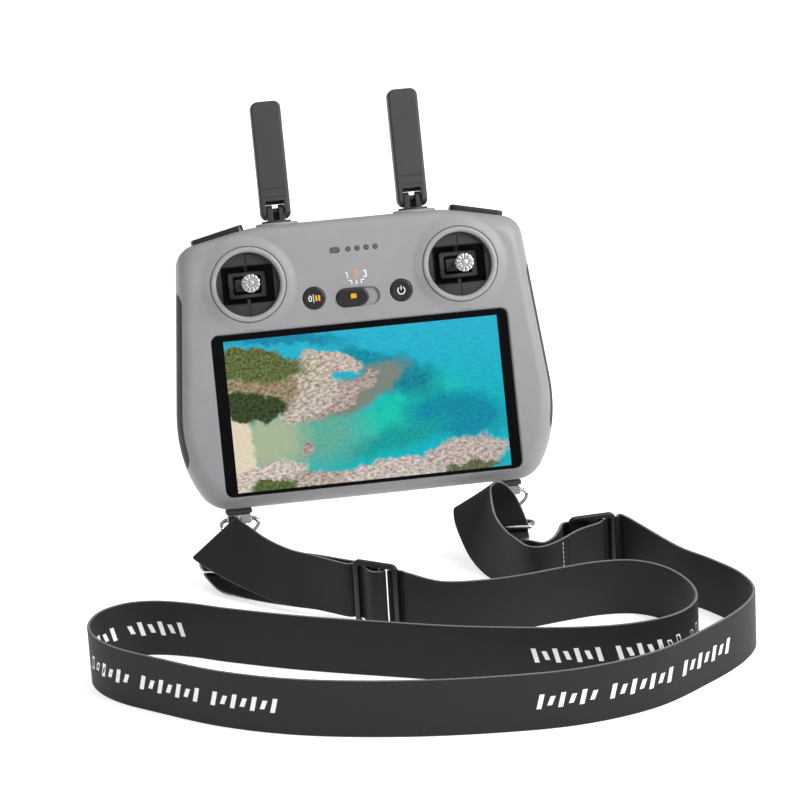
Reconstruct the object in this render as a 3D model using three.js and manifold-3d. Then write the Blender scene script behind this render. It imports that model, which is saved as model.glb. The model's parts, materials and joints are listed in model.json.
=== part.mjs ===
import * as THREE from 'three';
import { mergeVertices } from 'three/addons/utils/BufferGeometryUtils.js';
import Module from 'manifold-3d';

const wasm = await Module();
wasm.setup();

// ---- driving sizes, mm ----
// The controller is drawn upright: x to the right, y to the rear, z up, zero at the
// centre of the screen glass. It is then leaned back about the hand grips.
const lean = 21.6;
const gripPoint = [0, 20, 10];
const groundDrop = 75;

const bodyHalfWidth = 85.2;
const bodyTop = 82;
const bodyBottom = -40.8;
const faceY = -0.8;
const splitY = 19;
const rearY = 28;
const gripBulge = 16;
const wall = 2.4;
const frontWall = 3.0;
const seamGap = 0.3;
const fitGap = 0.2;

const glassWidth = 131.2;
const glassHeight = 70.8;
const glassThick = 1.1;
const panelWidth = 124;
const panelHeight = 67.4;

const stickX = 47;
const stickZ = 56.7;
const stickPivotY = 9;
const ringOuter = 16.5;
const ringInner = 14.1;
const stickTipY = -18;
const knobRadius = 4;

const faceButtonRadius = 4.75;
const homeButton = [-18.8, 47.9];
const powerButton = [19.9, 47.7];
const switchCentre = [0.6, 46.7];
const switchSlot = [19.2, 8];
const switchKnob = [14.2, 7.6];
const lightRow = 68;

const antennaX = 30.6;
const antennaY = 15.5;
const antennaPinZ = bodyTop + 6.4;
const paddleWidth = 13.3;
const paddleThick = 8;
const paddleTop = antennaPinZ + 48.6;

const dialCentre = [56, 26.2, 62.5];
const dialRadius = 6.8;
const dialWidth = 6;
const rearButton = [43, 30];
const rearButtonRadius = 4;

const bracketX = 60.3;
const bracketY = 15;
const ringWire = 0.95;
const strapWidth = 25.4;
const strapThick = 1.4;
const eyeWire = 1.1;

const colours = {
  body: ['#8f9092', 0.5, 0.0],
  trim: ['#a7a8aa', 0.45, 0.0],
  dark: ['#2a2b2d', 0.6, 0.0],
  antenna: ['#4b4b4d', 0.6, 0.0],
  rubber: ['#3a3b3d', 0.85, 0.0],
  glass: ['#0a0b0c', 0.08, 0.0],
  display: ['#2aa5ad', 0.4, 0.0],
  silver: ['#c9cacc', 0.3, 1.0],
  chrome: ['#d8d9db', 0.12, 1.0],
  plate: ['#9a9b9d', 0.4, 1.0],
  board: ['#1f4d35', 0.6, 0.0],
  battery: ['#35363a', 0.6, 0.0],
  lens: ['#5b5c5e', 0.3, 0.0],
  webbing: ['#1c1c1e', 0.9, 0.0],
};

// ---- small tools ----
function solid(geometry) {
  const bare = geometry.clone();
  bare.deleteAttribute('normal');
  bare.deleteAttribute('uv');
  const merged = mergeVertices(bare, 1e-4);
  return new wasm.Manifold(new wasm.Mesh({
    numProp: 3,
    vertProperties: Float32Array.from(merged.attributes.position.array),
    triVerts: Uint32Array.from(merged.index.array),
  }));
}

function shell(manifold) {
  const mesh = manifold.getMesh();
  const geometry = new THREE.BufferGeometry();
  geometry.setAttribute('position', new THREE.BufferAttribute(Float32Array.from(mesh.vertProperties), 3));
  geometry.setIndex(new THREE.BufferAttribute(Uint32Array.from(mesh.triVerts), 1));
  geometry.computeVertexNormals();
  return geometry;
}

function cut(base, tools) {
  let result = base;
  for (const tool of tools) result = result.subtract(tool);
  return result;
}

function join(parts) {
  let result = parts[0];
  for (const part of parts.slice(1)) result = result.add(part);
  return result;
}

function roundRect(cx, cz, width, height, radius) {
  const r = Math.min(radius, width / 2 - 0.05, height / 2 - 0.05);
  const x0 = cx - width / 2;
  const x1 = cx + width / 2;
  const z0 = cz - height / 2;
  const z1 = cz + height / 2;
  const shape = new THREE.Shape();
  shape.moveTo(x0 + r, z0);
  shape.lineTo(x1 - r, z0);
  shape.absarc(x1 - r, z0 + r, r, -Math.PI / 2, 0, false);
  shape.lineTo(x1, z1 - r);
  shape.absarc(x1 - r, z1 - r, r, 0, Math.PI / 2, false);
  shape.lineTo(x0 + r, z1);
  shape.absarc(x0 + r, z1 - r, r, Math.PI / 2, Math.PI, false);
  shape.lineTo(x0, z0 + r);
  shape.absarc(x0 + r, z0 + r, r, Math.PI, Math.PI * 1.5, false);
  return shape;
}

// A flat outline in x and z, given depth from y0 to y1.
function plate(shape, y0, y1, segments = 4, bevel = 0) {
  const geometry = new THREE.ExtrudeGeometry(shape, {
    depth: y1 - y0 - 2 * bevel,
    curveSegments: segments,
    bevelEnabled: bevel > 0,
    bevelThickness: bevel,
    bevelSize: bevel,
    bevelOffset: -bevel,
    bevelSegments: 1,
  });
  geometry.rotateX(Math.PI / 2);
  geometry.translate(0, y1 - bevel, 0);
  return geometry;
}

function block(x0, x1, y0, y1, z0, z1) {
  const geometry = new THREE.BoxGeometry(x1 - x0, y1 - y0, z1 - z0);
  geometry.translate((x0 + x1) / 2, (y0 + y1) / 2, (z0 + z1) / 2);
  return geometry;
}

// A round bar along one axis: 'x', 'y' or 'z', from a to b.
function bar(axis, radius, a, b, c0, c1, segments = 16) {
  const geometry = new THREE.CylinderGeometry(radius, radius, b - a, segments);
  const mid = (a + b) / 2;
  if (axis === 'x') {
    geometry.rotateZ(Math.PI / 2);
    geometry.translate(mid, c0, c1);
  } else if (axis === 'y') {
    geometry.translate(c0, mid, c1);
  } else {
    geometry.rotateX(Math.PI / 2);
    geometry.translate(c0, c1, mid);
  }
  return geometry;
}

// A turned piece about the y direction; the profile holds [radius, y] pairs.
function turned(profile, cx, cz, segments = 32) {
  const points = profile.map(([r, y]) => new THREE.Vector2(r, y));
  const geometry = new THREE.LatheGeometry(points, segments);
  geometry.translate(cx, 0, cz);
  return geometry;
}

function meshFrom(positions, faces) {
  const geometry = new THREE.BufferGeometry();
  const flat = new Float32Array(positions.length * 3);
  positions.forEach((p, i) => flat.set([p.x, p.y, p.z], i * 3));
  geometry.setAttribute('position', new THREE.BufferAttribute(flat, 3));
  geometry.setIndex(faces);
  geometry.computeVertexNormals();
  return geometry;
}

// A closed skin through rings of equal count, with a single point at each end.
function loft(first, rings, last) {
  const positions = [first, ...rings.flat(), last];
  const count = rings[0].length;
  const faces = [];
  for (let i = 0; i < count; i += 1) {
    const j = (i + 1) % count;
    faces.push(0, 1 + j, 1 + i);
    for (let k = 0; k + 1 < rings.length; k += 1) {
      const low = 1 + k * count;
      const high = low + count;
      faces.push(low + i, low + j, high + j, low + i, high + j, high + i);
    }
    const end = 1 + (rings.length - 1) * count;
    faces.push(end + i, end + j, positions.length - 1);
  }
  return meshFrom(positions, faces);
}

// A round wire swept round a closed flat path.
function wireLoop(path, normal, radius, sides = 8) {
  const count = path.length;
  const positions = [];
  const faces = [];
  for (let i = 0; i < count; i += 1) {
    const ahead = path[(i + 1) % count];
    const behind = path[(i + count - 1) % count];
    const along = ahead.clone().sub(behind).normalize();
    const side = along.clone().cross(normal).normalize();
    for (let k = 0; k < sides; k += 1) {
      const turn = (k / sides) * Math.PI * 2;
      const point = path[i].clone();
      point.addScaledVector(side, radius * Math.cos(turn));
      point.addScaledVector(normal, radius * Math.sin(turn));
      positions.push(point);
    }
  }
  for (let i = 0; i < count; i += 1) {
    for (let k = 0; k < sides; k += 1) {
      const a = i * sides + k;
      const b = i * sides + ((k + 1) % sides);
      const c = ((i + 1) % count) * sides + ((k + 1) % sides);
      const d = ((i + 1) % count) * sides + k;
      faces.push(a, b, c, a, c, d);
    }
  }
  return meshFrom(positions, faces);
}

function smoothLoop(points, count) {
  const curve = new THREE.CatmullRomCurve3(points, true, 'centripetal');
  return curve.getSpacedPoints(count).slice(0, count);
}

// A flat band between two edge lines, each given by matching points.
function band(edgeA, edgeB, thickness, steps) {
  const curveA = new THREE.CatmullRomCurve3(edgeA, false, 'catmullrom', 0.5);
  const curveB = new THREE.CatmullRomCurve3(edgeB, false, 'catmullrom', 0.5);
  const positions = [];
  const faces = [];
  const mid = (t) => curveA.getPoint(t).add(curveB.getPoint(t)).multiplyScalar(0.5);
  for (let i = 0; i <= steps; i += 1) {
    const t = i / steps;
    const a = curveA.getPoint(t);
    const b = curveB.getPoint(t);
    const along = mid(Math.min(1, t + 0.002)).sub(mid(Math.max(0, t - 0.002))).normalize();
    const across = b.clone().sub(a).normalize();
    const normal = across.cross(along).normalize().multiplyScalar(thickness / 2);
    positions.push(a.clone().add(normal), b.clone().add(normal));
    positions.push(b.clone().sub(normal), a.clone().sub(normal));
  }
  for (let i = 0; i < steps; i += 1) {
    for (let k = 0; k < 4; k += 1) {
      const a = i * 4 + k;
      const b = i * 4 + ((k + 1) % 4);
      faces.push(a, a + 4, b + 4, a, b + 4, b);
    }
  }
  const end = steps * 4;
  faces.push(0, 1, 2, 0, 2, 3);
  faces.push(end, end + 2, end + 1, end, end + 3, end + 2);
  const geometry = meshFrom(positions, faces);
  return solid(geometry).volume() < 0 ? flipped(geometry) : geometry;
}

function flipped(geometry) {
  const index = geometry.index.array;
  for (let i = 0; i < index.length; i += 3) [index[i], index[i + 1]] = [index[i + 1], index[i]];
  geometry.computeVertexNormals();
  return geometry;
}

const group = new THREE.Group();
group.name = 'controller_with_neck_strap';
const leaned = new THREE.Group();
leaned.rotation.x = THREE.MathUtils.degToRad(-lean);
const upright = new THREE.Group();
upright.position.set(-gripPoint[0], -gripPoint[1], -gripPoint[2]);
leaned.add(upright);
group.add(leaned);

function addPiece(parent, name, geometry, colour) {
  const [hex, roughness, metalness] = colours[colour];
  const material = new THREE.MeshStandardMaterial({ color: hex, roughness, metalness });
  const mesh = new THREE.Mesh(geometry, material);
  mesh.name = name;
  parent.add(mesh);
  return mesh;
}

const sides = [['left', -1], ['right', 1]];

// ---- the case ----
function bodyOutline(count) {
  const top = bodyHalfWidth - 9;
  const corners = [[43, bodyTop, 10], [top, 75, 8], [bodyHalfWidth, -18, 22], [71.5, bodyBottom, 8]];
  const all = [...corners, ...corners.slice().reverse().map(([x, z, r]) => [-x, z, r])];
  const shape = new THREE.Shape();
  shape.moveTo(0, bodyTop);
  all.forEach(([x, z, r], i) => {
    const [px, pz] = i > 0 ? all[i - 1] : [0, bodyTop];
    const [nx, nz] = i < all.length - 1 ? all[i + 1] : [0, bodyTop];
    const before = r / Math.hypot(px - x, pz - z);
    const after = r / Math.hypot(nx - x, nz - z);
    shape.lineTo(x + (px - x) * before, z + (pz - z) * before);
    shape.quadraticCurveTo(x, z, x + (nx - x) * after, z + (nz - z) * after);
  });
  shape.lineTo(0, bodyTop);
  return shape.getSpacedPoints(count).slice(0, count);
}

const outlineMidZ = (bodyTop + bodyBottom) / 2;

function insetRing(outline, inset, depth) {
  const sx = 1 - inset / bodyHalfWidth;
  const sz = 1 - inset / (bodyTop - outlineMidZ);
  return outline.map((p) => {
    const x = p.x * sx;
    const z = outlineMidZ + (p.y - outlineMidZ) * sz;
    return new THREE.Vector3(x, depth(x, z), z);
  });
}

function smoothStep(a, b, value) {
  const t = Math.min(1, Math.max(0, (value - a) / (b - a)));
  return t * t * (3 - 2 * t);
}

// Depth of the rear face at a place: flat in the middle, swelling into two hand grips.
function rearDepth(x, z) {
  const across = smoothStep(34, 60, Math.abs(x)) * (1 - 0.7 * smoothStep(64, 86, Math.abs(x)));
  const along = smoothStep(-44, -14, z) * (1 - smoothStep(22, 60, z));
  return rearY + gripBulge * across * along;
}

// The whole case as one solid, drawn in by the given amount.
function caseSolid(inset, frontInset, count, detail) {
  const outline = bodyOutline(count);
  const front = faceY + frontInset;
  const rings = [];
  const frontSteps = detail ? 3 : 1;
  for (let k = 0; k <= frontSteps; k += 1) {
    const turn = (k / frontSteps) * Math.PI / 2;
    const depth = front + 9 * (1 - Math.cos(turn));
    rings.push(insetRing(outline, inset + 7 * (1 - Math.sin(turn)), () => depth));
  }
  rings.push(insetRing(outline, inset, () => splitY));
  const rearSteps = detail ? 3 : 1;
  for (let k = 1; k <= rearSteps; k += 1) {
    const turn = (k / rearSteps) * Math.PI / 2;
    const lift = Math.sin(turn);
    const edge = inset + 9 * (1 - Math.cos(turn));
    rings.push(insetRing(outline, edge, (x, z) => splitY + (rearDepth(x, z) - inset - splitY) * lift));
  }
  const steps = detail ? [15, 22, 30, 40, 52] : [20, 31, 46];
  for (const extra of steps) rings.push(insetRing(outline, inset + extra, (x, z) => rearDepth(x, z) - inset));
  const first = new THREE.Vector3(0, front, outlineMidZ);
  const last = new THREE.Vector3(0, rearY - inset, outlineMidZ);
  const manifold = solid(loft(first, rings, last));
  return manifold.volume() < 0 ? solid(flipped(loft(first, rings, last))) : manifold;
}

function gripRegion(grow) {
  const shape = roundRect(0, 0, 60 + 2 * grow, 76.6 + 2 * grow, 6);
  const geometry = new THREE.ExtrudeGeometry(shape, { depth: 30, bevelEnabled: false, curveSegments: 3 });
  // the outline lies in depth and height, its thickness runs sideways
  const inner = bodyHalfWidth - 19.2 - grow;
  const turn = new THREE.Matrix4().set(0, 0, 1, inner, 1, 0, 0, 32.2, 0, 1, 0, 17.3, 0, 0, 0, 1);
  geometry.applyMatrix4(turn);
  return solid(geometry);
}

function mirrored(manifold, sign) {
  return sign > 0 ? manifold : manifold.mirror([1, 0, 0]);
}

const caseOuter = caseSolid(0, 0, 56, true);
const caseInner = caseSolid(wall, frontWall, 28, false);
const gripFloor = caseSolid(1.5, 1.5, 56, true);
const gripUnder = caseSolid(1.3, 1.3, 56, true);
const gripSkin = caseSolid(0.05, 0.05, 56, true);
const hollowCase = caseOuter.subtract(caseInner);

function shoulderFrame(sign) {
  // middle of the sloping shoulder and its slope
  const a = [45.5, bodyTop - 0.5];
  const b = [bodyHalfWidth - 15.5, 76];
  const angle = Math.atan2(b[1] - a[1], b[0] - a[0]) * sign;
  return { x: sign * (a[0] + b[0]) / 2, z: (a[1] + b[1]) / 2, angle, length: Math.hypot(b[0] - a[0], b[1] - a[1]) };
}

function shoulderBlock(sign, grow, low, high) {
  const { x, z, angle, length } = shoulderFrame(sign);
  const shape = roundRect(0, 11.5, length - 1 + 2 * grow, 10 + 2 * grow, 2.5);
  const geometry = new THREE.ExtrudeGeometry(shape, { depth: high - low, bevelEnabled: false, curveSegments: 3 });
  geometry.translate(0, 0, low);
  geometry.rotateY(-angle);
  geometry.translate(x, 0, z);
  return geometry;
}

function frontShell() {
  const half = solid(block(-100, 100, -10, splitY - seamGap / 2, -60, 100));
  const tools = [
    solid(plate(roundRect(0, 0, glassWidth + 0.6, glassHeight + 0.6, 3.3), -3, glassThick + fitGap, 3)),
    solid(plate(roundRect(0, 0, panelWidth + 2, panelHeight + 1, 1.5), 0.5, 4, 1)),
    solid(plate(roundRect(...switchCentre, ...switchSlot, 4), -3, 0.6, 6)),
    solid(bar('y', faceButtonRadius + fitGap, -3, 5, ...homeButton, 24)),
    solid(bar('y', faceButtonRadius + fitGap, -3, 5, ...powerButton, 24)),
    solid(block(-4.9, 4.9, 9, 12.6, bodyBottom - 3, bodyBottom + 5)),
    solid(block(14.5, 27.5, 9.6, 11.6, bodyBottom - 3, bodyBottom + 5)),
  ];
  for (const lamp of lightShapes(fitGap / 2)) tools.push(solid(plate(lamp, -3, 5, 2)));
  for (const [, sign] of sides) {
    tools.push(solid(bar('y', ringOuter + fitGap, -3, 5, sign * stickX, stickZ, 32)));
    tools.push(solid(bar('z', 3.2, bodyTop - 6, bodyTop + 3, sign * antennaX, antennaY, 16)));
    tools.push(solid(shoulderBlock(sign, fitGap, -6, 6)));
    tools.push(mirrored(gripRegion(fitGap).subtract(gripFloor), sign));
  }
  return shell(cut(hollowCase.intersect(half), tools));
}

function dialEars(sign) {
  const [x, y, z] = dialCentre;
  const high = dialWidth / 2 + 0.7;
  const ears = [-1, 1].map((side) => {
    const low = side > 0 ? z + high : z - high - 2.2;
    return solid(block(sign * x - 4, sign * x + 4, y - 4, rearY - 1, low, low + 2.2));
  });
  return join(ears);
}

function rearShell() {
  const half = solid(block(-100, 100, splitY + seamGap / 2, 60, -60, 100));
  const tools = [];
  for (const [, sign] of sides) {
    const [x, y, z] = dialCentre;
    const wide = dialRadius + 0.8;
    tools.push(solid(block(sign * x - wide, sign * x + wide, y - 3, y + 12, z - 3.6, z + 3.6)));
    tools.push(solid(bar('y', rearButtonRadius + fitGap, 20, 60, sign * rearButton[0], rearButton[1], 20)));
    tools.push(mirrored(gripRegion(fitGap).subtract(gripFloor), sign));
    for (const height of [-26, 70]) {
      const across = height > 0 ? 22 : 34;
      tools.push(solid(bar('y', 2.6, rearY - 1, rearY + 5, sign * across, height, 12)));
    }
  }
  for (let i = 0; i < 5; i += 1) {
    const x = -16 + 8 * i;
    tools.push(solid(plate(roundRect(x, -18, 3.6, 16, 1.8), 20, 40, 3)));
  }
  const bodyHalf = hollowCase.intersect(half);
  const ears = join(sides.map(([, sign]) => dialEars(sign)));
  const [x, y, z] = dialCentre;
  const bores = sides.map(([, sign]) => solid(bar('z', 1.15, z - 5.8, z + 5.8, sign * x, y, 12)));
  return shell(cut(cut(bodyHalf, tools).add(ears), bores));
}

function lightShapes(grow) {
  const shapes = [roundRect(-7.7, lightRow, 4.1 + 2 * grow, 2 + 2 * grow, 1 + grow)];
  for (const x of [-1.7, 2.3, 6.3, 10.3]) shapes.push(roundRect(x, lightRow, 1.9 + 2 * grow, 1.9 + 2 * grow, 1));
  return shapes;
}

// One clear moulding: a strip behind the face with a peg through it for each lamp.
function statusLights() {
  const strip = solid(block(-11, 13, frontWall + faceY + 0.3, frontWall + faceY + 1.6, lightRow - 2, lightRow + 2));
  const pegs = lightShapes(0).map((shape) => solid(plate(shape, faceY - 0.1, frontWall + faceY + 0.8, 2)));
  return shell(join([strip, ...pegs]));
}

function addCase() {
  addPiece(upright, 'front_shell', frontShell(), 'body');
  addPiece(upright, 'rear_shell', rearShell(), 'body');
  addPiece(upright, 'status_lights', statusLights(), 'lens');
  for (const [name, sign] of sides) {
    const pad = gripSkin.subtract(gripUnder).intersect(gripRegion(0));
    addPiece(upright, `grip_${name}`, shell(mirrored(pad, sign)), 'rubber');
    for (const [level, height] of [['low', -26], ['high', 70]]) {
      const across = height > 0 ? 22 : 34;
      const screw = bar('y', 2.4, rearY - 0.8, rearY - 0.1, sign * across, height, 12);
      addPiece(upright, `case_screw_${level}_${name}`, screw, 'dark');
    }
  }
}

// ---- screen and inner pieces ----
function addScreen() {
  const glass = plate(roundRect(0, 0, glassWidth, glassHeight, 3), 0, glassThick, 4, 0.25);
  addPiece(upright, 'display_glass', glass, 'glass');
  addPiece(upright, 'display_panel', block(-panelWidth / 2, panelWidth / 2, 1.3, 3.9,
    -panelHeight / 2, panelHeight / 2), 'display');
  addPiece(upright, 'mid_frame', block(19.2 - bodyHalfWidth, bodyHalfWidth - 19.2,
    4.3, 5.5, -28.5, 36), 'plate');
  addPiece(upright, 'main_board', block(-62, 62, 7.0, 8.6, -30, 36), 'board');
  addPiece(upright, 'battery_pack', block(-48, 48, 9.4, 17.6, -22, 36), 'battery');
  addPiece(upright, 'speaker', bar('y', 8, 9.4, 13.4, -58, 0, 20), 'dark');
}

// ---- sticks ----
function gimbalHousing(sign) {
  const cx = sign * stickX;
  const outer = solid(turned([[0, 0.6], [15, 0.6], [15, 18.8], [0, 18.8]], cx, stickZ, 24));
  const room = solid(bar('y', 13.7, 1.7, 17.6, cx, stickZ, 24));
  const window = solid(block(cx - 11.4, cx + 11.4, -1, 3, stickZ - 8.2, stickZ + 8.2));
  const bore = solid(bar('z', 1.35, stickZ - 16, stickZ + 16, cx, stickPivotY, 12));
  return shell(cut(outer, [room, window, bore]));
}

function gimbalYoke(sign) {
  const cx = sign * stickX;
  const frame = solid(block(cx - 8.5, cx + 8.5, 6, 12, stickZ - 6, stickZ + 6));
  const window = solid(block(cx - 6.1, cx + 6.1, 4, 14, stickZ - 3.9, stickZ + 3.9));
  const bore = solid(bar('x', 1.2, cx - 10, cx + 10, stickPivotY, stickZ, 12));
  const pins = [-1, 1].map((side) => {
    const low = side > 0 ? stickZ + 5 : stickZ - 14.6;
    return solid(bar('z', 1.25, low, low + 9.6, cx, stickPivotY, 12));
  });
  return shell(join([cut(frame, [window, bore]), ...pins]));
}

function stickHub(sign) {
  const cx = sign * stickX;
  const core = solid(block(cx - 5.5, cx + 5.5, 6.5, 11.5, stickZ - 2.9, stickZ + 2.9));
  const pins = [-1, 1].map((side) => {
    const low = side > 0 ? cx + 5 : cx - 8.3;
    return solid(bar('x', 1.1, low, low + 3.3, stickPivotY, stickZ, 12));
  });
  const socket = solid(bar('y', 1.65, 4, 10, cx, stickZ, 16));
  return shell(join([core, ...pins]).subtract(socket));
}

function stickShaft(sign) {
  const r = knobRadius;
  const profile = [[0, stickTipY], [r - 0.4, stickTipY], [r, stickTipY + 0.6], [r - 0.5, stickTipY + 4.5],
    [r - 1.1, stickTipY + 7.5], [2.3, stickTipY + 10], [2.3, 6.2], [1.5, 6.2], [1.5, 9], [0, 9]];
  return turned(profile, sign * stickX, stickZ, 20);
}

function stickRing(sign) {
  const profile = [[ringInner, -2.1], [ringInner + 0.6, -2.7], [ringOuter - 0.8, -2.7], [ringOuter, -1.9],
    [ringOuter, 2.6], [ringOuter - 1.1, 2.6], [ringOuter - 1.1, 0.3], [ringInner, 0.3], [ringInner, -2.1]];
  return turned(profile, sign * stickX, stickZ, 32);
}

function addSticks() {
  for (const [name, sign] of sides) {
    addPiece(upright, `stick_ring_${name}`, shell(positive(solid(stickRing(sign)))), 'trim');
    addPiece(upright, `gimbal_housing_${name}`, gimbalHousing(sign), 'dark');
    addPiece(upright, `gimbal_yoke_${name}`, gimbalYoke(sign), 'dark');
    addPiece(upright, `stick_hub_${name}`, stickHub(sign), 'dark');
    addPiece(upright, `stick_${name}`, shell(positive(solid(stickShaft(sign)))), 'silver');
  }
}

function positive(manifold) {
  if (manifold.volume() > 0) return manifold;
  return solid(flipped(shell(manifold)));
}

// ---- buttons, switch and dials ----
function faceButton([cx, cz]) {
  const r = faceButtonRadius;
  const flange = frontWall + faceY + 0.3;
  const profile = [[0, -1.3], [r - 0.3, -1.3], [r, -1.0], [r, flange], [r + 1, flange], [r + 1, flange + 0.8],
    [0, flange + 0.8]];
  return shell(positive(solid(turned(profile, cx, cz, 24))));
}

function dial(sign) {
  const [x, y, z] = dialCentre;
  const wheel = solid(bar('z', dialRadius, z - dialWidth / 2, z + dialWidth / 2, sign * x, y, 24));
  const axle = solid(bar('z', 1.05, z - dialWidth / 2 - 2.4, z + dialWidth / 2 + 2.4, sign * x, y, 12));
  return shell(wheel.add(axle));
}

function rearCap(sign) {
  const [x, z] = rearButton;
  const top = rearDepth(x, z) + 0.9;
  return bar('y', rearButtonRadius, top - 5, top, sign * x, z, 20);
}

function addControls() {
  addPiece(upright, 'home_button', faceButton(homeButton), 'dark');
  addPiece(upright, 'power_button', faceButton(powerButton), 'dark');
  const rest = switchCentre[0] - (switchSlot[0] - switchKnob[0]) / 2 + fitGap;
  const knob = plate(roundRect(rest, switchCentre[1], ...switchKnob, 3.8), -2.2, 0.4, 4, 0.4);
  addPiece(upright, 'mode_switch', knob, 'dark');
  for (const [name, sign] of sides) {
    const shoulder = sign < 0 ? 'record_button' : 'shutter_button';
    addPiece(upright, shoulder, shoulderBlock(sign, 0, -3.4, 1.8), 'dark');
    addPiece(upright, sign < 0 ? 'tilt_dial' : 'camera_dial', dial(sign), 'dark');
    addPiece(upright, `rear_button_${name}`, rearCap(sign), 'dark');
  }
}

// ---- ports ----
function addPorts() {
  const socket = (x0, x1, y0, y1, gap) => {
    const outer = solid(block(x0, x1, y0, y1, bodyBottom + 0.3, bodyBottom + 7.5));
    return shell(outer.subtract(solid(block(x0 + gap, x1 - gap, y0 + gap, y1 - gap, bodyBottom - 1, bodyBottom + 6.6))));
  };
  addPiece(upright, 'charge_port', socket(-4.7, 4.7, 9.2, 12.4, 0.4), 'plate');
  addPiece(upright, 'card_reader', socket(14.7, 27.3, 9.8, 11.4, 0.35), 'plate');
}

// ---- antennas ----
function antennaBase(sign) {
  const cx = sign * antennaX;
  const low = bodyTop + 0.2;
  const foot = new THREE.CylinderGeometry(1, 1, 1.4, 28);
  foot.rotateX(Math.PI / 2);
  foot.scale(9.2, 5.2, 1);
  foot.translate(cx, antennaY, low + 0.7);
  const spigot = solid(bar('z', 3, bodyTop - 5, low + 0.5, cx, antennaY, 16));
  const lugs = [-1, 1].map((side) => {
    const shape = roundRect(0, 0, 5.4, 12, 2.7);
    const lug = new THREE.ExtrudeGeometry(shape, { depth: 2.5, bevelEnabled: false, curveSegments: 4 });
    const turn = new THREE.Matrix4().set(0, 0, 1, cx - 1.25 + side * 2.55, 1, 0, 0, antennaY,
      0, 1, 0, antennaPinZ + 2.7 - 6, 0, 0, 0, 1);
    lug.applyMatrix4(turn);
    return solid(lug).intersect(solid(block(cx - 20, cx + 20, 0, 40, low + 0.5, 120)));
  });
  const bore = solid(bar('x', 1.3, cx - 10, cx + 10, antennaY, antennaPinZ, 12));
  return shell(cut(join([solid(foot), spigot, ...lugs]), [bore]));
}

function antennaPaddle(sign) {
  const cx = sign * antennaX;
  const low = antennaPinZ - 4.1;
  const middle = (low + paddleTop) / 2;
  const blade = solid(plate(roundRect(cx, middle, paddleWidth, paddleTop - low, 3.2),
    antennaY - paddleThick / 2, antennaY + paddleThick / 2, 4, 0.8));
  const slot = solid(block(cx - 4.2, cx + 4.2, 0, 40, low - 2, antennaPinZ + 4.6));
  const bore = solid(bar('x', 1.3, cx - 10, cx + 10, antennaY, antennaPinZ, 12));
  const heel = solid(block(cx - 10, cx + 10, 0, 40, low - 2, antennaPinZ));
  const round = solid(bar('x', 4.1, cx - 10, cx + 10, antennaY, antennaPinZ, 24));
  const tools = [slot, bore, heel.subtract(round)];
  for (const side of [-1, 1]) {
    const face = antennaY + side * paddleThick / 2;
    tools.push(solid(block(cx - 5.4, cx + 5.4, face - 0.35, face + 0.35, antennaPinZ + 9.4, antennaPinZ + 10.1)));
  }
  return shell(cut(blade, tools));
}

function addAntennas() {
  for (const [name, sign] of sides) {
    const cx = sign * antennaX;
    addPiece(upright, `antenna_base_${name}`, antennaBase(sign), 'antenna');
    addPiece(upright, `antenna_paddle_${name}`, antennaPaddle(sign), 'antenna');
    addPiece(upright, `antenna_pin_${name}`, bar('x', 1.2, cx - 6, cx + 6, antennaY, antennaPinZ, 12), 'silver');
  }
}

// ---- strap brackets and rings ----
function bracketLug(sign) {
  const cx = sign * bracketX;
  const top = bodyBottom - 2.6;
  const body = solid(block(cx - 5.4, cx + 5.4, bracketY - 2.5, bracketY + 2.5, top - 4.4, top));
  const slot = solid(block(cx - 0.9, cx + 0.9, bracketY - 4, bracketY + 4, top - 5, top - 1.2));
  const bore = solid(bar('x', 1.35, cx - 8, cx + 8, bracketY, top - 2.4, 12));
  return shell(cut(body, [slot, bore]));
}

function bracketRing(sign) {
  const cx = sign * bracketX;
  const top = bodyBottom - 5.0;
  const outline = [[-5.8, 0], [-2, 0], [2, 0], [5.8, 0], [8, -1.4], [7.8, -3.8], [4.6, -6.6], [0, -7.8],
    [-4.6, -6.6], [-7.8, -3.8], [-8, -1.4]];
  const path = outline.map(([x, z]) => new THREE.Vector3(cx + x, bracketY, top + z));
  return wireLoop(smoothLoop(path, 26), new THREE.Vector3(0, 1, 0), ringWire, 6);
}

function addBrackets() {
  for (const [name, sign] of sides) {
    const cx = sign * bracketX;
    const tab = plate(roundRect(cx, bodyBottom - 1.3, 11.4, 2.4, 0.6), bracketY - 5, bracketY + 4, 2);
    addPiece(upright, `bracket_tab_${name}`, tab, 'dark');
    addPiece(upright, `bracket_lug_${name}`, bracketLug(sign), 'chrome');
    addPiece(upright, `strap_ring_${name}`, shell(positive(solid(bracketRing(sign)))), 'chrome');
  }
}

// ---- clasps ----
// A clasp hangs from the bottom of a strap ring and points at the middle of its strap bar.
const ground = -groundDrop;
const clasps = {
  left: { hook: [-61.4, -28.0, -57.3], barMid: [-65.5, -37.6, -70.6], barEnd: [-53.4, -38.6, -71.4] },
  right: { hook: [58.2, -28.0, -57.0], barMid: [52.6, -45.6, -58.6], barEnd: [64.8, -48.6, -57.6] },
};

function claspFrame(clasp) {
  const hook = new THREE.Vector3(...clasp.hook);
  const mid = new THREE.Vector3(...clasp.barMid);
  const down = mid.clone().sub(hook).normalize();
  const across = new THREE.Vector3(...clasp.barEnd).sub(mid);
  across.addScaledVector(down, -across.dot(down)).normalize();
  const normal = down.clone().cross(across).normalize();
  const matrix = new THREE.Matrix4().makeBasis(across, normal, down);
  matrix.setPosition(hook);
  return { matrix, reach: mid.distanceTo(hook), across, down, normal, mid };
}

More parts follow.
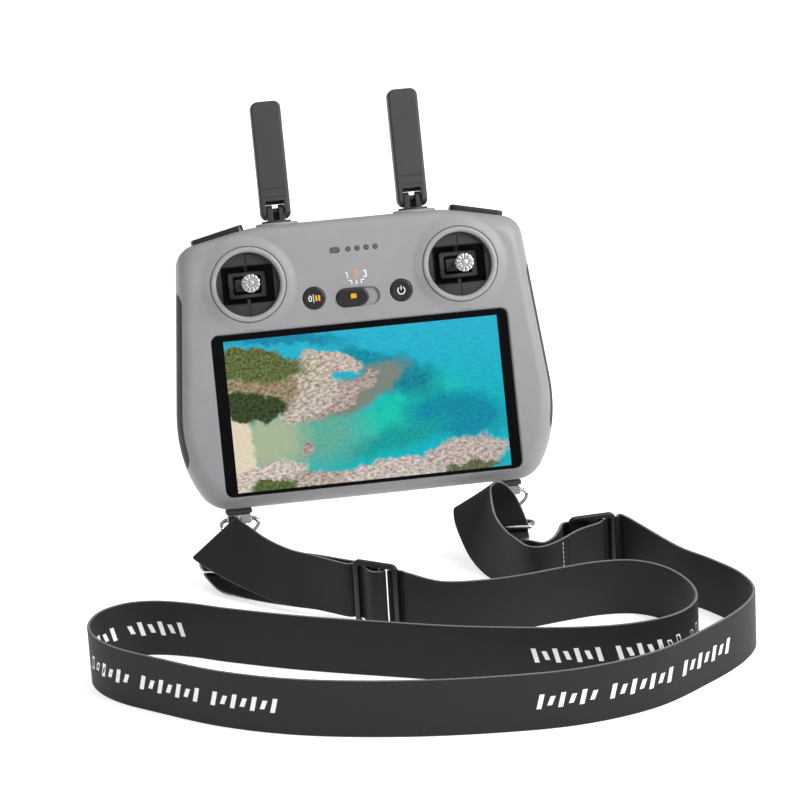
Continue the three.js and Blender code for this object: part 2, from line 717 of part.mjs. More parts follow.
// Clasp pieces are drawn with x along the strap bar, y across and z down the clasp.
function claspHook() {
  const shape = new THREE.Shape();
  shape.moveTo(-2.6, 8.2);
  shape.lineTo(-4.1, 6);
  shape.lineTo(-4.1, 0);
  shape.absarc(0, 0, 4.1, Math.PI, Math.PI * 2, false);
  shape.lineTo(4.1, 0.6);
  shape.lineTo(2.3, 0.6);
  shape.absarc(0, 0, 2.3, 0, -Math.PI, true);
  shape.lineTo(-2.3, 5);
  shape.lineTo(4.1, 5);
  shape.lineTo(4.1, 6);
  shape.lineTo(2.6, 8.2);
  shape.lineTo(-2.6, 8.2);
  const geometry = new THREE.ExtrudeGeometry(shape, { depth: 3, bevelEnabled: false, curveSegments: 10 });
  const turn = new THREE.Matrix4().set(0, 0, 1, -1.5, 1, 0, 0, 0, 0, 1, 0, 0, 0, 0, 0, 1);
  geometry.applyMatrix4(turn);
  return positive(solid(geometry)).subtract(solid(bar('z', 1.35, 3, 10, 0, 0, 12)));
}

function claspGate() {
  const shape = roundRect(3.2, 2.75, 1.3, 3.7, 0.6);
  const geometry = new THREE.ExtrudeGeometry(shape, { depth: 2.4, bevelEnabled: false, curveSegments: 3 });
  const turn = new THREE.Matrix4().set(0, 0, 1, -1.2, 1, 0, 0, 0, 0, 1, 0, 0, 0, 0, 0, 1);
  geometry.applyMatrix4(turn);
  return positive(solid(geometry));
}

function claspEye(reach) {
  const half = strapWidth / 2 + eyeWire + 0.9;
  const outline = [[-3, 10], [3, 10], [8.5, 12.4], [half - 0.8, reach - 4.6], [half, reach - 2.4], [half - 1.4, reach],
    [half - 6, reach], [-half + 6, reach], [-half + 1.4, reach], [-half, reach - 2.4], [-half + 0.8, reach - 4.6],
    [-8.5, 12.4]];
  const path = outline.map(([x, z]) => new THREE.Vector3(x, 0, z));
  const loop = positive(solid(wireLoop(smoothLoop(path, 34), new THREE.Vector3(0, 1, 0), eyeWire, 6)));
  const post = solid(bar('z', 1.15, 3.8, 10.2, 0, 0, 12));
  const head = solid(bar('z', 1.9, 3.5, 4.5, 0, 0, 12));
  const collar = solid(bar('z', 2.2, 8.6, 9.6, 0, 0, 12));
  return join([loop, post, head, collar]);
}

function addClasps() {
  for (const [name] of sides) {
    const { matrix, reach } = claspFrame(clasps[name]);
    const pieces = [['clasp_hook', claspHook()], ['clasp_gate', claspGate()], ['clasp_eye', claspEye(reach)]];
    for (const [piece, manifold] of pieces) {
      const geometry = shell(positive(manifold));
      geometry.applyMatrix4(matrix);
      addPiece(group, `${piece}_${name}`, geometry, 'chrome');
    }
  }
}

// ---- neck strap ----
const top = ground + strapWidth + 0.1;
const low = ground + 0.1;
const lifted = 2.4;
const v = (x, y, z) => new THREE.Vector3(x, y, z);

// A place where the strap stands on its edge on the ground, raised by an amount.
function standing(x, y, lift = 0) {
  return [v(x, y, top + lift), v(x, y, low + lift)];
}

// Around a strap bar: three places at a right angle to each other.
function aroundBar(frame, from, to) {
  const radius = eyeWire + 0.6 + strapThick / 2;
  const places = [];
  for (let i = 0; i <= 4; i += 1) {
    const turn = THREE.MathUtils.degToRad(from + (to - from) * i / 4);
    const centre = frame.mid.clone();
    centre.addScaledVector(frame.normal, radius * Math.cos(turn));
    centre.addScaledVector(frame.down, radius * Math.sin(turn));
    const half = frame.across.clone().multiplyScalar(strapWidth / 2);
    places.push([centre.clone().add(half), centre.clone().sub(half)]);
  }
  return places;
}

const sliders = {
  left: { mid: [-9, -96.5], angle: -34 },
  right: { mid: [89.6, -71.5], angle: 4 },
};

// The band weaves behind, in front of and behind the three bars of a slider.
function weave(slider, lift) {
  const angle = THREE.MathUtils.degToRad(slider.angle);
  const along = [Math.cos(angle), Math.sin(angle)];
  const back = [-Math.sin(angle), Math.cos(angle)];
  const stations = [[-15.5, 1.2], [-11.5, 2.3], [-8.2, 2.3], [-4.9, 0], [-1.6, -2.2], [1.6, -2.2], [4.9, 0],
    [8.2, 2.3], [11.5, 2.3], [15.5, 1.2]];
  return stations.map(([s, off]) => standing(slider.mid[0] + along[0] * s + back[0] * off,
    slider.mid[1] + along[1] * s + back[1] * off, lift));
}

function makeBand(pairs, steps) {
  return band(pairs.map((p) => p[0]), pairs.map((p) => p[1]), strapThick, steps);
}

// Both end loops run: slider, front layer, fold, down to the clasp, round its bar, back to the slider.
function leftEnd() {
  const frame = claspFrame(clasps.left);
  const pairs = [
    ...weave(sliders.left, lifted).slice(0, 7).reverse(),
    [v(-33, -76, -48), v(-33, -77.6, -73.4)],
    [v(-42.5, -68, -47.6), v(-46.5, -70.6, -72.6)],
    [v(-51, -58.5, -46), v(-59, -61, -69.6)],
    [v(-57, -51, -43.4), v(-72, -52.4, -64.4)],
    [v(-61.4, -46, -41.2), v(-82, -46.6, -58.4)],
    [v(-62, -42.6, -41.2), v(-82.6, -43.4, -58.2)],
    [v(-60.4, -40, -44.6), v(-81, -40.6, -60.8)],
    [v(-56.4, -40, -53), v(-79.4, -40.4, -65)],
    [v(-53.6, -40.6, -63), v(-78.2, -39.4, -66.6)],
    ...aroundBar(frame, -70, -236),
    [v(-51, -45, -71.2), v(-73.2, -45.4, -74)],
    [v(-47, -52.6, -63), v(-66.4, -53, -74.2)],
    [v(-42, -61, -55), v(-56, -61.6, -74.2)],
    [v(-36.4, -68.4, -50), v(-43.4, -69.6, -74.2)],
    ...[-15.5, -10, -4, 2].map((s) => besideSlider(sliders.left, s, 4.6)),
  ];
  return makeBand(pairs, 92);
}

function besideSlider(slider, s, off) {
  const angle = THREE.MathUtils.degToRad(slider.angle);
  const x = slider.mid[0] + Math.cos(angle) * s - Math.sin(angle) * off;
  const y = slider.mid[1] + Math.sin(angle) * s + Math.cos(angle) * off;
  return standing(x, y, lifted);
}

function rightEnd() {
  const frame = claspFrame(clasps.right);
  const pairs = [
    ...[[94.5, -71.2, 2.4], [91.6, -73.7, 2.4], [87.6, -75.4, 2.4], [82, -78.2, 2.2], [77, -81.2, 1.4],
      [72, -83.9, 0.6], [67, -85.8, 0.1], [62.3, -86, 0], [58.2, -83, 0]].map((p) => standing(...p)),
    [v(54.8, -77, -49.6), v(53.4, -77, -74.9)],
    [v(51.8, -69, -49), v(48.6, -69, -74.4)],
    [v(49, -59.6, -45.6), v(43, -60, -73)],
    [v(48.8, -51.6, -40), v(37.8, -51.6, -67.4)],
    [v(50, -46.8, -37), v(33.6, -45.6, -56)],
    [v(53.6, -43.6, -36.8), v(33.6, -40, -50)],
    [v(58, -42.2, -40.4), v(36.4, -37.6, -51.8)],
    [v(62, -42.6, -47), v(39, -38, -54.6)],
    ...aroundBar(frame, -60, -172),
    [v(64.4, -55.6, -60), v(42, -51, -66)],
    [v(61.6, -64, -57), v(46.2, -58.6, -71)],
    [v(59.4, -73, -52.6), v(52.4, -69.6, -74)],
    [v(61.4, -81, -49.8), v(58.4, -78.6, -74.6)],
    ...[[66.2, -82.6, 0.2], [70.6, -80.4, 0.8], [74, -75.6, 1.6]].map((p) => standing(...p)),
    ...[-12.4, -7, -1, 5.6].map((s) => besideSlider(sliders.right, s, 2.7)),
  ];
  return makeBand(pairs, 96);
}

const mainPath = [[17.5, -110.5], [35, -113.6], [52, -112.6], [69, -109.6], [86, -107.6], [101, -110.4],
  [112.5, -121], [118.6, -137], [118.4, -152], [112, -162.4], [100, -168.6], [81, -170.4], [55, -166.4], [18, -155.6],
  [-12, -143.6], [-45, -129.4], [-73, -115], [-90, -105], [-104.3, -99.2], [-117, -98.8], [-127.4, -104.6],
  [-132.6, -115.6], [-131, -128], [-123, -140.6], [-108, -153.8], [-83, -173], [-52, -188.4], [-13, -199.4],
  [26, -205.2], [60, -206], [91, -198.6], [116, -182.6], [134, -167], [143, -151.4], [141.4, -134],
  [132.4, -117], [121, -99.6]];

function mainBand() {
  const pairs = [
    besideSlider(sliders.left, 6.3, 1),
    ...weave(sliders.left, lifted).slice(7),
    ...mainPath.map(([x, y]) => standing(x, y)),
    ...weave(sliders.right, lifted).slice(7).reverse(),
    besideSlider(sliders.right, 6.3, 1),
  ];
  return makeBand(pairs, 124);
}

function sliderPlate(slider) {
  const outer = solid(plate(roundRect(0, 0, 21, strapWidth + 5.6, 3), -1.15, 1.15, 3, 0.4));
  const windows = [-1, 1].map((side) => solid(plate(roundRect(side * 5, 0, 6.4, strapWidth + 1, 0.8), -3, 3, 1)));
  const geometry = shell(cut(outer, windows));
  geometry.rotateZ(THREE.MathUtils.degToRad(slider.angle));
  geometry.translate(slider.mid[0], slider.mid[1], ground + strapWidth / 2 + 2.9);
  return geometry;
}

function addStrap() {
  addPiece(group, 'strap_main', mainBand(), 'webbing');
  addPiece(group, 'strap_end_left', leftEnd(), 'webbing');
  addPiece(group, 'strap_end_right', rightEnd(), 'webbing');
  for (const [name] of sides) addPiece(group, `strap_slider_${name}`, sliderPlate(sliders[name]), 'dark');
}

addCase();
addScreen();
addSticks();
addControls();
addPorts();
addAntennas();
addBrackets();
addClasps();
addStrap();
group.updateMatrixWorld(true);

export default group;
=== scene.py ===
import json
import math

import bmesh
import bpy
from mathutils import Matrix, Vector


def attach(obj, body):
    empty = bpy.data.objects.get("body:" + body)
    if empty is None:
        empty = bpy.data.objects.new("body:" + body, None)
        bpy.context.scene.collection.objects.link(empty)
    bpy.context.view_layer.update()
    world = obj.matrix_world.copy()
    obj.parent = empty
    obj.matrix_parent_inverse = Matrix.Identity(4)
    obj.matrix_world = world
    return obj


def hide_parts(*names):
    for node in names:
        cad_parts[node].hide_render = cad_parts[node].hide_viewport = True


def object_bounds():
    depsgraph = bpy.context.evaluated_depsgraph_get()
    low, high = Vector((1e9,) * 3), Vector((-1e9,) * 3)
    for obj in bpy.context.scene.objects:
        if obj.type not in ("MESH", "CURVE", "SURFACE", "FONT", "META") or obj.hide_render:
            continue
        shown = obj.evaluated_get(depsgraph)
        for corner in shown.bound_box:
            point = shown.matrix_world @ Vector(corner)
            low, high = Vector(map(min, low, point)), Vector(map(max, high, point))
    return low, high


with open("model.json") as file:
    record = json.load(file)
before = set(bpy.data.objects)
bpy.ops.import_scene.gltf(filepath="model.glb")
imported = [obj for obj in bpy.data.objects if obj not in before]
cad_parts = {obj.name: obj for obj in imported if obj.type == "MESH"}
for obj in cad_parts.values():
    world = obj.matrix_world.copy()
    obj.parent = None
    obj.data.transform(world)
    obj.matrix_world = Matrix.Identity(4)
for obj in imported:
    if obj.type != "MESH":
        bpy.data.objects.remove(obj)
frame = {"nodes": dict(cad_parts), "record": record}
cadLow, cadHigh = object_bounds()
print("frame loaded:", len(frame["nodes"]), "parts")

scene = bpy.context.scene
scene.view_settings.view_transform = "Standard"
mm = 0.001
names = {node: body for body, nodes in frame["record"]["behaviour"]["bodies"].items() for node in nodes}
sides = (("left", -1), ("right", 1))

# The controller is drawn upright in millimetres, x right, y to the rear, z up, zero at the
# centre of its glass. The record's mount on the glass says where that is and how it leans.
glassMount = next(m for m in frame["record"]["mounts"] if m["name"] == "display_glass_face")
leanAngle = math.atan2(glassMount["axis"][2], -glassMount["axis"][1])
upright = Matrix.Translation(Vector(glassMount["pos_m"])) @ Matrix.Rotation(-leanAngle, 4, "X")
asLaid = Matrix.Identity(4)


# ---------- mesh tools ----------
def makeObject(name, shape, matrix=upright):
    verts, faces = shape
    mesh = bpy.data.meshes.new(name)
    mesh.from_pydata([Vector(v) * mm for v in verts], [], faces)
    work = bmesh.new()
    work.from_mesh(mesh)
    bmesh.ops.remove_doubles(work, verts=work.verts, dist=1e-7)
    bmesh.ops.recalc_face_normals(work, faces=work.faces)
    work.to_mesh(mesh)
    work.free()
    piece = bpy.data.objects.new(name, mesh)
    scene.collection.objects.link(piece)
    piece.matrix_world = matrix
    return piece


def carve(piece, tools, operation="DIFFERENCE"):
    for tool in tools:
        modifier = piece.modifiers.new("carve", "BOOLEAN")
        modifier.object = tool
        modifier.operation = operation
        modifier.solver = "MANIFOLD"
    graph = bpy.context.evaluated_depsgraph_get()
    mesh = bpy.data.meshes.new_from_object(piece.evaluated_get(graph))
    piece.modifiers.clear()
    piece.data = mesh
    for tool in tools:
        bpy.data.objects.remove(tool)
    return piece


def settle(piece, material, node=None, body=None, angle=32, extra=()):
    # smooth skin with crisp edges, its finish, and the part it stands for and moves with
    piece.data.materials.clear()
    piece.data.materials.append(material)
    for face in piece.data.polygons:
        face.use_smooth = True
    piece.data.set_sharp_from_angle(angle=math.radians(angle))
    even = piece.modifiers.new("even", "WEIGHTED_NORMAL")
    even.keep_sharp = True
    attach(piece, body or names[node])
    if node:
        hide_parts(node, *extra)
    return piece


def merged(*shapes):
    verts, faces = [], []
    for shapeVerts, shapeFaces in shapes:
        start = len(verts)
        verts += shapeVerts
        faces += [tuple(start + i for i in face) for face in shapeFaces]
    return verts, faces


def skin(rings, loop=False):
    count = len(rings[0])
    verts = [point for ring in rings for point in ring]
    faces = []
    last = len(rings) if loop else len(rings) - 1
    for k in range(last):
        a, b = k * count, (k + 1) % len(rings) * count
        faces += [(a + i, a + (i + 1) % count, b + (i + 1) % count, b + i) for i in range(count)]
    if not loop:
        faces += [tuple(range(count)), tuple(range((len(rings) - 1) * count, len(rings) * count))]
    return verts, faces


def roundRect(cx, cz, width, height, radius, steps=6):
    def outline(inset):
        r = max(0.02, min(radius - inset, width / 2 - inset - 0.01, height / 2 - inset - 0.01))
        points = []
        for i in range(4 * (steps + 1)):
            corner, step = divmod(i, steps + 1)
            turn = math.radians(90 * corner - 90 + 90 * step / steps)
            across, along = ((1, -1), (1, 1), (-1, 1), (-1, -1))[corner]
            points.append((cx + across * (width / 2 - inset - r) + r * math.cos(turn),
                           cz + along * (height / 2 - inset - r) + r * math.sin(turn)))
        return points
    return outline


def disc(cx, cz, radius, steps=64, flat=1.0):
    def outline(inset):
        turns = [2 * math.pi * i / steps for i in range(steps)]
        return [(cx + (radius - inset) * math.cos(t), cz + (radius * flat - inset) * math.sin(t)) for t in turns]
    return outline


def drawn(points):
    # any closed outline, drawn in along its own corners
    def outline(inset):
        count = len(points)
        turn = sum(points[i - 1][0] * points[i][1] - points[i][0] * points[i - 1][1] for i in range(count))
        way = 1 if turn > 0 else -1
        result = []
        for i, (x, z) in enumerate(points):
            before = Vector((x - points[i - 1][0], z - points[i - 1][1])).normalized()
            after = Vector((points[(i + 1) % count][0] - x, points[(i + 1) % count][1] - z)).normalized()
            inward = Vector((-(before.y + after.y), before.x + after.x)) * way
            reach = inset / max(0.45, inward.length / 2)
            inward.normalize()
            result.append((x + inward.x * reach, z + inward.y * reach))
        return result
    return outline


def slab(outline, layers):
    return skin([[(x, y, z) for x, z in outline(inset)] for y, inset in layers])


def softLayers(y0, y1, edge, steps=3):
    # a quarter round along both rims
    layers = []
    for i in range(steps + 1):
        turn = math.pi / 2 * i / steps
        layers.append((y0 + edge * (1 - math.cos(turn)), edge * (1 - math.sin(turn))))
    return layers + [(y0 + y1 - y, inset) for y, inset in reversed(layers)]


def hole(outline, surface, depth, flare):
    # a cutter whose mouth opens at 45 degrees, for a chamfer round the hole
    return slab(outline, [(surface - 2, -(flare + 2)), (surface + flare, 0), (depth, 0)])


def block(x0, x1, y0, y1, z0, z1):
    corners = [(x0, z0), (x1, z0), (x1, z1), (x0, z1)]
    return skin([[(x, y, z) for x, z in corners] for y in (y0, y1)])


def turned(profile, cx, cz, segments=96, loop=False, ribs=None):
    verts, rows, faces = [], [], []
    for radius, y in profile:
        rows.append(range(len(verts), len(verts) + (1 if radius == 0 else segments)))
        for i in range(len(rows[-1])):
            turn = 2 * math.pi * i / segments
            lift = ribs(radius, y, turn) if ribs else 0
            verts.append((cx + radius * math.cos(turn), y + lift, cz + radius * math.sin(turn)))
    for a, b in zip(rows, rows[1:] + rows[:1] if loop else rows[1:]):
        for i in range(segments):
            j = (i + 1) % segments
            face = [a[i % len(a)], a[j % len(a)], b[j % len(b)], b[i % len(b)]]
            faces.append(tuple(dict.fromkeys(face)))
    return verts, faces


def remap(shape, place):
    return [place(*v) for v in shape[0]], shape[1]


def alongX(shape):
    return remap(shape, lambda deep, along, up: (along, deep, up))


def alongZ(shape):
    return remap(shape, lambda across, up, deep: (across, deep, up))


def cutter(shape, matrix=upright):
    return makeObject("cut", shape, matrix)


def curveThrough(points, count, loop=False):
    # the same even Catmull-Rom curve for the wire loops and the webbing
    last = len(points) if loop else len(points) - 1
    result = []
    for i in range(count if loop else count + 1):
        t = i / count * last
        k = min(int(t), last - 1)
        t -= k
        if loop:
            a, b, c, d = (points[(k + j) % last] for j in (-1, 0, 1, 2))
        else:
            b, c = points[k], points[k + 1]
            a = points[k - 1] if k > 0 else 2 * b - c
            d = points[k + 2] if k + 2 < len(points) else 2 * c - b
        result.append(0.5 * (2 * b + (c - a) * t + (2 * a - 5 * b + 4 * c - d) * t * t
                             + (3 * b - a - 3 * c + d) * t ** 3))
    return result


def wire(path, normal, radius, sections=16, loop=True, flat=1.0):
    rings = []
    for i, point in enumerate(path):
        after = path[(i + 1) % len(path)] if loop else path[min(i + 1, len(path) - 1)]
        before = path[i - 1] if loop or i else path[0]
        side = (after - before).normalized().cross(normal).normalized()
        turns = [2 * math.pi * k / sections for k in range(sections)]
        rings.append([tuple(point + side * radius * math.cos(t) + normal * radius * flat * math.sin(t))
                      for t in turns])
    return skin(rings, loop)


# ---------- materials ----------
def linear(colour):
    parts = [int(colour[i:i + 2], 16) / 255 for i in (1, 3, 5)]
    return tuple(p / 12.92 if p <= 0.04045 else ((p + 0.055) / 1.055) ** 2.4 for p in parts) + (1.0,)


def addNode(tree, kind, inputs=None, **settings):
    node = tree.nodes.new(kind)
    for key, value in settings.items():
        setattr(node, key, value)
    for key, value in (inputs or {}).items():
        if isinstance(value, bpy.types.NodeSocket):
            tree.links.new(value, node.inputs[key])
        else:
            node.inputs[key].default_value = value
    return node


def newMaterial(name, **shaderSettings):
    material = bpy.data.materials.new(name)
    material.use_nodes = True
    tree = material.node_tree
    shader = tree.nodes["Principled BSDF"]
    for key, value in shaderSettings.items():
        shader.inputs[key.replace("_", " ")].default_value = value
    place = addNode(tree, "ShaderNodeTexCoord")
    return material, tree, shader, place


def mottled(tree, shader, place, colour, second, size, contrast=0.5, detail=4.0):
    # two close shades of one material, in soft patches of the given size in mm
    cloud = addNode(tree, "ShaderNodeTexNoise", {"Vector": place.outputs["Object"], "Scale": 1000 / size,
                                                 "Detail": detail, "Roughness": 0.6})
    spread = addNode(tree, "ShaderNodeMapRange", {"Value": cloud.outputs["Fac"], "From Min": 0.5 - contrast / 2,
                                                  "From Max": 0.5 + contrast / 2})
    mix = addNode(tree, "ShaderNodeMix", {"Factor": spread.outputs["Result"], "A": linear(colour),
                                          "B": linear(second)}, data_type="RGBA")
    tree.links.new(mix.outputs["Result"], shader.inputs["Base Color"])
    return cloud


def relief(tree, shader, height, distance, strength=1.0, after=None):
    inputs = {"Height": height, "Distance": distance * mm, "Strength": strength}
    if after:
        inputs["Normal"] = after
    bump = addNode(tree, "ShaderNodeBump", inputs)
    tree.links.new(bump.outputs["Normal"], shader.inputs["Normal"])
    return bump.outputs["Normal"]


# Moulded plastics and rubber. Sizes in mm; the spark-eroded grain is really 0.1 to 0.2 mm
# across and is drawn three to five times coarser so that it shows.
plastics = {
    "bodyAbs": {"shades": ("#929294", "#8c8c8e"), "roughness": 0.46, "grain": 0.6, "height": 0.02},
    "ringAbs": {"shades": ("#9b9b9d", "#959597"), "roughness": 0.42, "grain": 0.6, "height": 0.012},
    "antennaNylon": {"shades": ("#343437", "#2e2e31"), "roughness": 0.52, "grain": 0.7, "height": 0.03},
    "buttonAbs": {"shades": ("#18181a", "#141416"), "roughness": 0.36, "grain": 0.5, "height": 0.012},
    "wellAbs": {"shades": ("#29292b", "#242426"), "roughness": 0.5, "grain": 0.6, "height": 0.02},
    "gripRubber": {"shades": ("#2e2e31", "#28282b"), "roughness": 0.72, "grain": 1.1, "height": 0.08},
    "sliderAcetal": {"shades": ("#131315", "#0f0f11"), "roughness": 0.38, "grain": 0.8, "height": 0.02},
    "bracketAbs": {"shades": ("#4a4a4d", "#444447"), "roughness": 0.5, "grain": 0.6, "height": 0.02},
}


def mouldedPlastic(name):
    # satin skin with a faint eroded grain and hardly any change of shade
    look = plastics[name]
    material, tree, shader, place = newMaterial(name, Roughness=look["roughness"], IOR=1.5)
    mottled(tree, shader, place, *look["shades"], 9)
    grain = addNode(tree, "ShaderNodeTexNoise", {"Vector": place.outputs["Object"], "Scale": 1000 / look["grain"],
                                                 "Detail": 2.0})
    relief(tree, shader, grain.outputs["Fac"], look["height"], 0.6)
    rough = addNode(tree, "ShaderNodeMapRange", {"Value": grain.outputs["Fac"],
                                                 "To Min": look["roughness"] - 0.05,
                                                 "To Max": look["roughness"] + 0.05})
    tree.links.new(rough.outputs["Result"], shader.inputs["Roughness"])
    return material


def chromedZinc():
    # die-cast zinc under bright chrome: mirror gloss with a slight orange-peel ripple
    material, tree, shader, place = newMaterial("chromedZinc", Metallic=1.0, Roughness=0.1)
    mottled(tree, shader, place, "#dddee1", "#cfd0d4", 3)
    ripple = addNode(tree, "ShaderNodeTexNoise", {"Vector": place.outputs["Object"], "Scale": 1000 / 1.6})
    relief(tree, shader, ripple.outputs["Fac"], 0.03, 0.5)
    return material


def turnedAluminium():
    # clear-anodised bar stock, with the fine rings that a lathe leaves
    material, tree, shader, place = newMaterial("turnedAluminium", Metallic=1.0, Roughness=0.34)
    mottled(tree, shader, place, "#dcdddf", "#cccdd0", 2)
    rings = addNode(tree, "ShaderNodeTexWave", {"Vector": place.outputs["Object"], "Scale": 1000 / 1.2 / 6.3},
                    bands_direction="Y")
    relief(tree, shader, rings.outputs["Fac"], 0.012, 0.5)
    return material


def rolledNickel():
    # nickel-plated sheet with a dull rolled grain along its length
    material, tree, shader, place = newMaterial("rolledNickel", Metallic=1.0, Roughness=0.34)
    stretch = addNode(tree, "ShaderNodeMapping", {"Vector": place.outputs["Object"], "Scale": (40, 1200, 1200)})
    grain = addNode(tree, "ShaderNodeTexNoise", {"Vector": stretch.outputs["Vector"], "Scale": 1.0, "Detail": 3.0})
    mix = addNode(tree, "ShaderNodeMix", {"Factor": grain.outputs["Fac"], "A": linear("#aeb0b2"),
                                          "B": linear("#97999c")}, data_type="RGBA")
    tree.links.new(mix.outputs["Result"], shader.inputs["Base Color"])
    relief(tree, shader, grain.outputs["Fac"], 0.01, 0.4)
    return material


def solderMask():
    # green lacquer over copper tracks, which show as lighter squared lines
    material, tree, shader, place = newMaterial("solderMask", Roughness=0.35, IOR=1.5)
    tracks = addNode(tree, "ShaderNodeTexBrick", {"Vector": place.outputs["Object"], "Color1": linear("#1d4a33"),
                                                  "Color2": linear("#235840"), "Mortar": linear("#3c7a58"),
                                                  "Scale": 110.0, "Mortar Size": 0.04})
    tree.links.new(tracks.outputs["Color"], shader.inputs["Base Color"])
    relief(tree, shader, tracks.outputs["Fac"], 0.05, 0.4)
    return material


def cellWrap():
    # heat-shrunk PVC sleeve, drawn tight with faint wrinkles
    material, tree, shader, place = newMaterial("cellWrap", Roughness=0.3, IOR=1.54)
    cloud = mottled(tree, shader, place, "#2f3036", "#26272c", 12)
    relief(tree, shader, cloud.outputs["Fac"], 0.2, 0.5)
    return material


def lightGuide():
    # clear polycarbonate lit from behind only when on; off, it reads as smoky grey
    material, tree, shader, place = newMaterial("lightGuide", Roughness=0.2, IOR=1.58)
    mottled(tree, shader, place, "#5d5e60", "#525355", 2)
    return material


def printedInk(name, colour):
    # screen-printed ink: thin, matt and slightly uneven
    material, tree, shader, place = newMaterial(name, Roughness=0.6, IOR=1.45)
    cloud = mottled(tree, shader, place, colour, colour, 1.5)
    relief(tree, shader, cloud.outputs["Fac"], 0.01, 0.4)
    return material


def polyesterThread():
    material, tree, shader, place = newMaterial("polyesterThread", Roughness=0.55, IOR=1.5, Sheen_Weight=0.2)
    cloud = mottled(tree, shader, place, "#e6e6e8", "#c4c4c8", 0.8)
    relief(tree, shader, cloud.outputs["Fac"], 0.05, 0.6)
    return material


webbingLook = {"thread": 1.1, "width": 25.4, "thick": 1.4, "edge": 0.5}   # mm; threads are really 0.5 apart


def wovenPolyester():
    # tightly woven ribbon, calendered flat: a fine twill, a soft sheen, and a painted highlight along the round
    # edges, pale grey broken up by the fibre noise
    material, tree, shader, place = newMaterial("wovenPolyester", Roughness=0.68, IOR=1.45, Sheen_Weight=0.1,
                                                Sheen_Roughness=0.4)
    lay = addNode(tree, "ShaderNodeSeparateXYZ", {"Vector": place.outputs["UV"]})
    twill = addNode(tree, "ShaderNodeMapping", {"Vector": place.outputs["UV"],
                                                "Rotation": (0, 0, math.radians(62))})
    cords = addNode(tree, "ShaderNodeTexWave", {"Vector": twill.outputs["Vector"], "Distortion": 0.6,
                                                "Scale": 1 / webbingLook["thread"] / 6.3 * 2 * math.pi,
                                                "Detail": 1.0, "Detail Scale": 2.0})
    fibres = addNode(tree, "ShaderNodeTexNoise", {"Vector": place.outputs["UV"], "Scale": 2.2, "Detail": 3.0})
    weave = addNode(tree, "ShaderNodeMath", {0: cords.outputs["Fac"], 1: fibres.outputs["Fac"]},
                    operation="MULTIPLY")
    cloth = addNode(tree, "ShaderNodeMix", {"Factor": weave.outputs["Value"], "A": linear("#0a0a0b"),
                                            "B": linear("#18181a")}, data_type="RGBA")
    half = addNode(tree, "ShaderNodeMath", {0: lay.outputs["Y"], 1: webbingLook["width"] / 2},
                   operation="SUBTRACT")
    reach = addNode(tree, "ShaderNodeMath", {0: half.outputs["Value"]}, operation="ABSOLUTE")
    # painted highlight: a band along each round edge is mixed towards pale grey, where the edges catch the light
    edge = addNode(tree, "ShaderNodeMapRange", {"Value": reach.outputs["Value"],
                                                "From Min": webbingLook["width"] / 2 - 0.35,
                                                "From Max": webbingLook["width"] / 2 - 0.05})
    paintedEdgeHighlight = addNode(tree, "ShaderNodeMath", {0: edge.outputs["Result"], 1: fibres.outputs["Fac"]},
                   operation="MULTIPLY")
    whole = addNode(tree, "ShaderNodeMix", {"Factor": paintedEdgeHighlight.outputs["Value"], "A": cloth.outputs["Result"],
                                            "B": linear("#9a9a9e")}, data_type="RGBA")
    tree.links.new(whole.outputs["Result"], shader.inputs["Base Color"])
    relief(tree, shader, weave.outputs["Value"], 0.06, 0.55)
    return material


def coverGlass():
    # strengthened glass over a black printed border; an anti-reflection coating keeps it deep black
    material, tree, shader, place = newMaterial("coverGlass", Roughness=0.08, IOR=1.5, Specular_IOR_Level=0.1)
    mottled(tree, shader, place, "#060607", "#0a0a0b", 25)
    return material


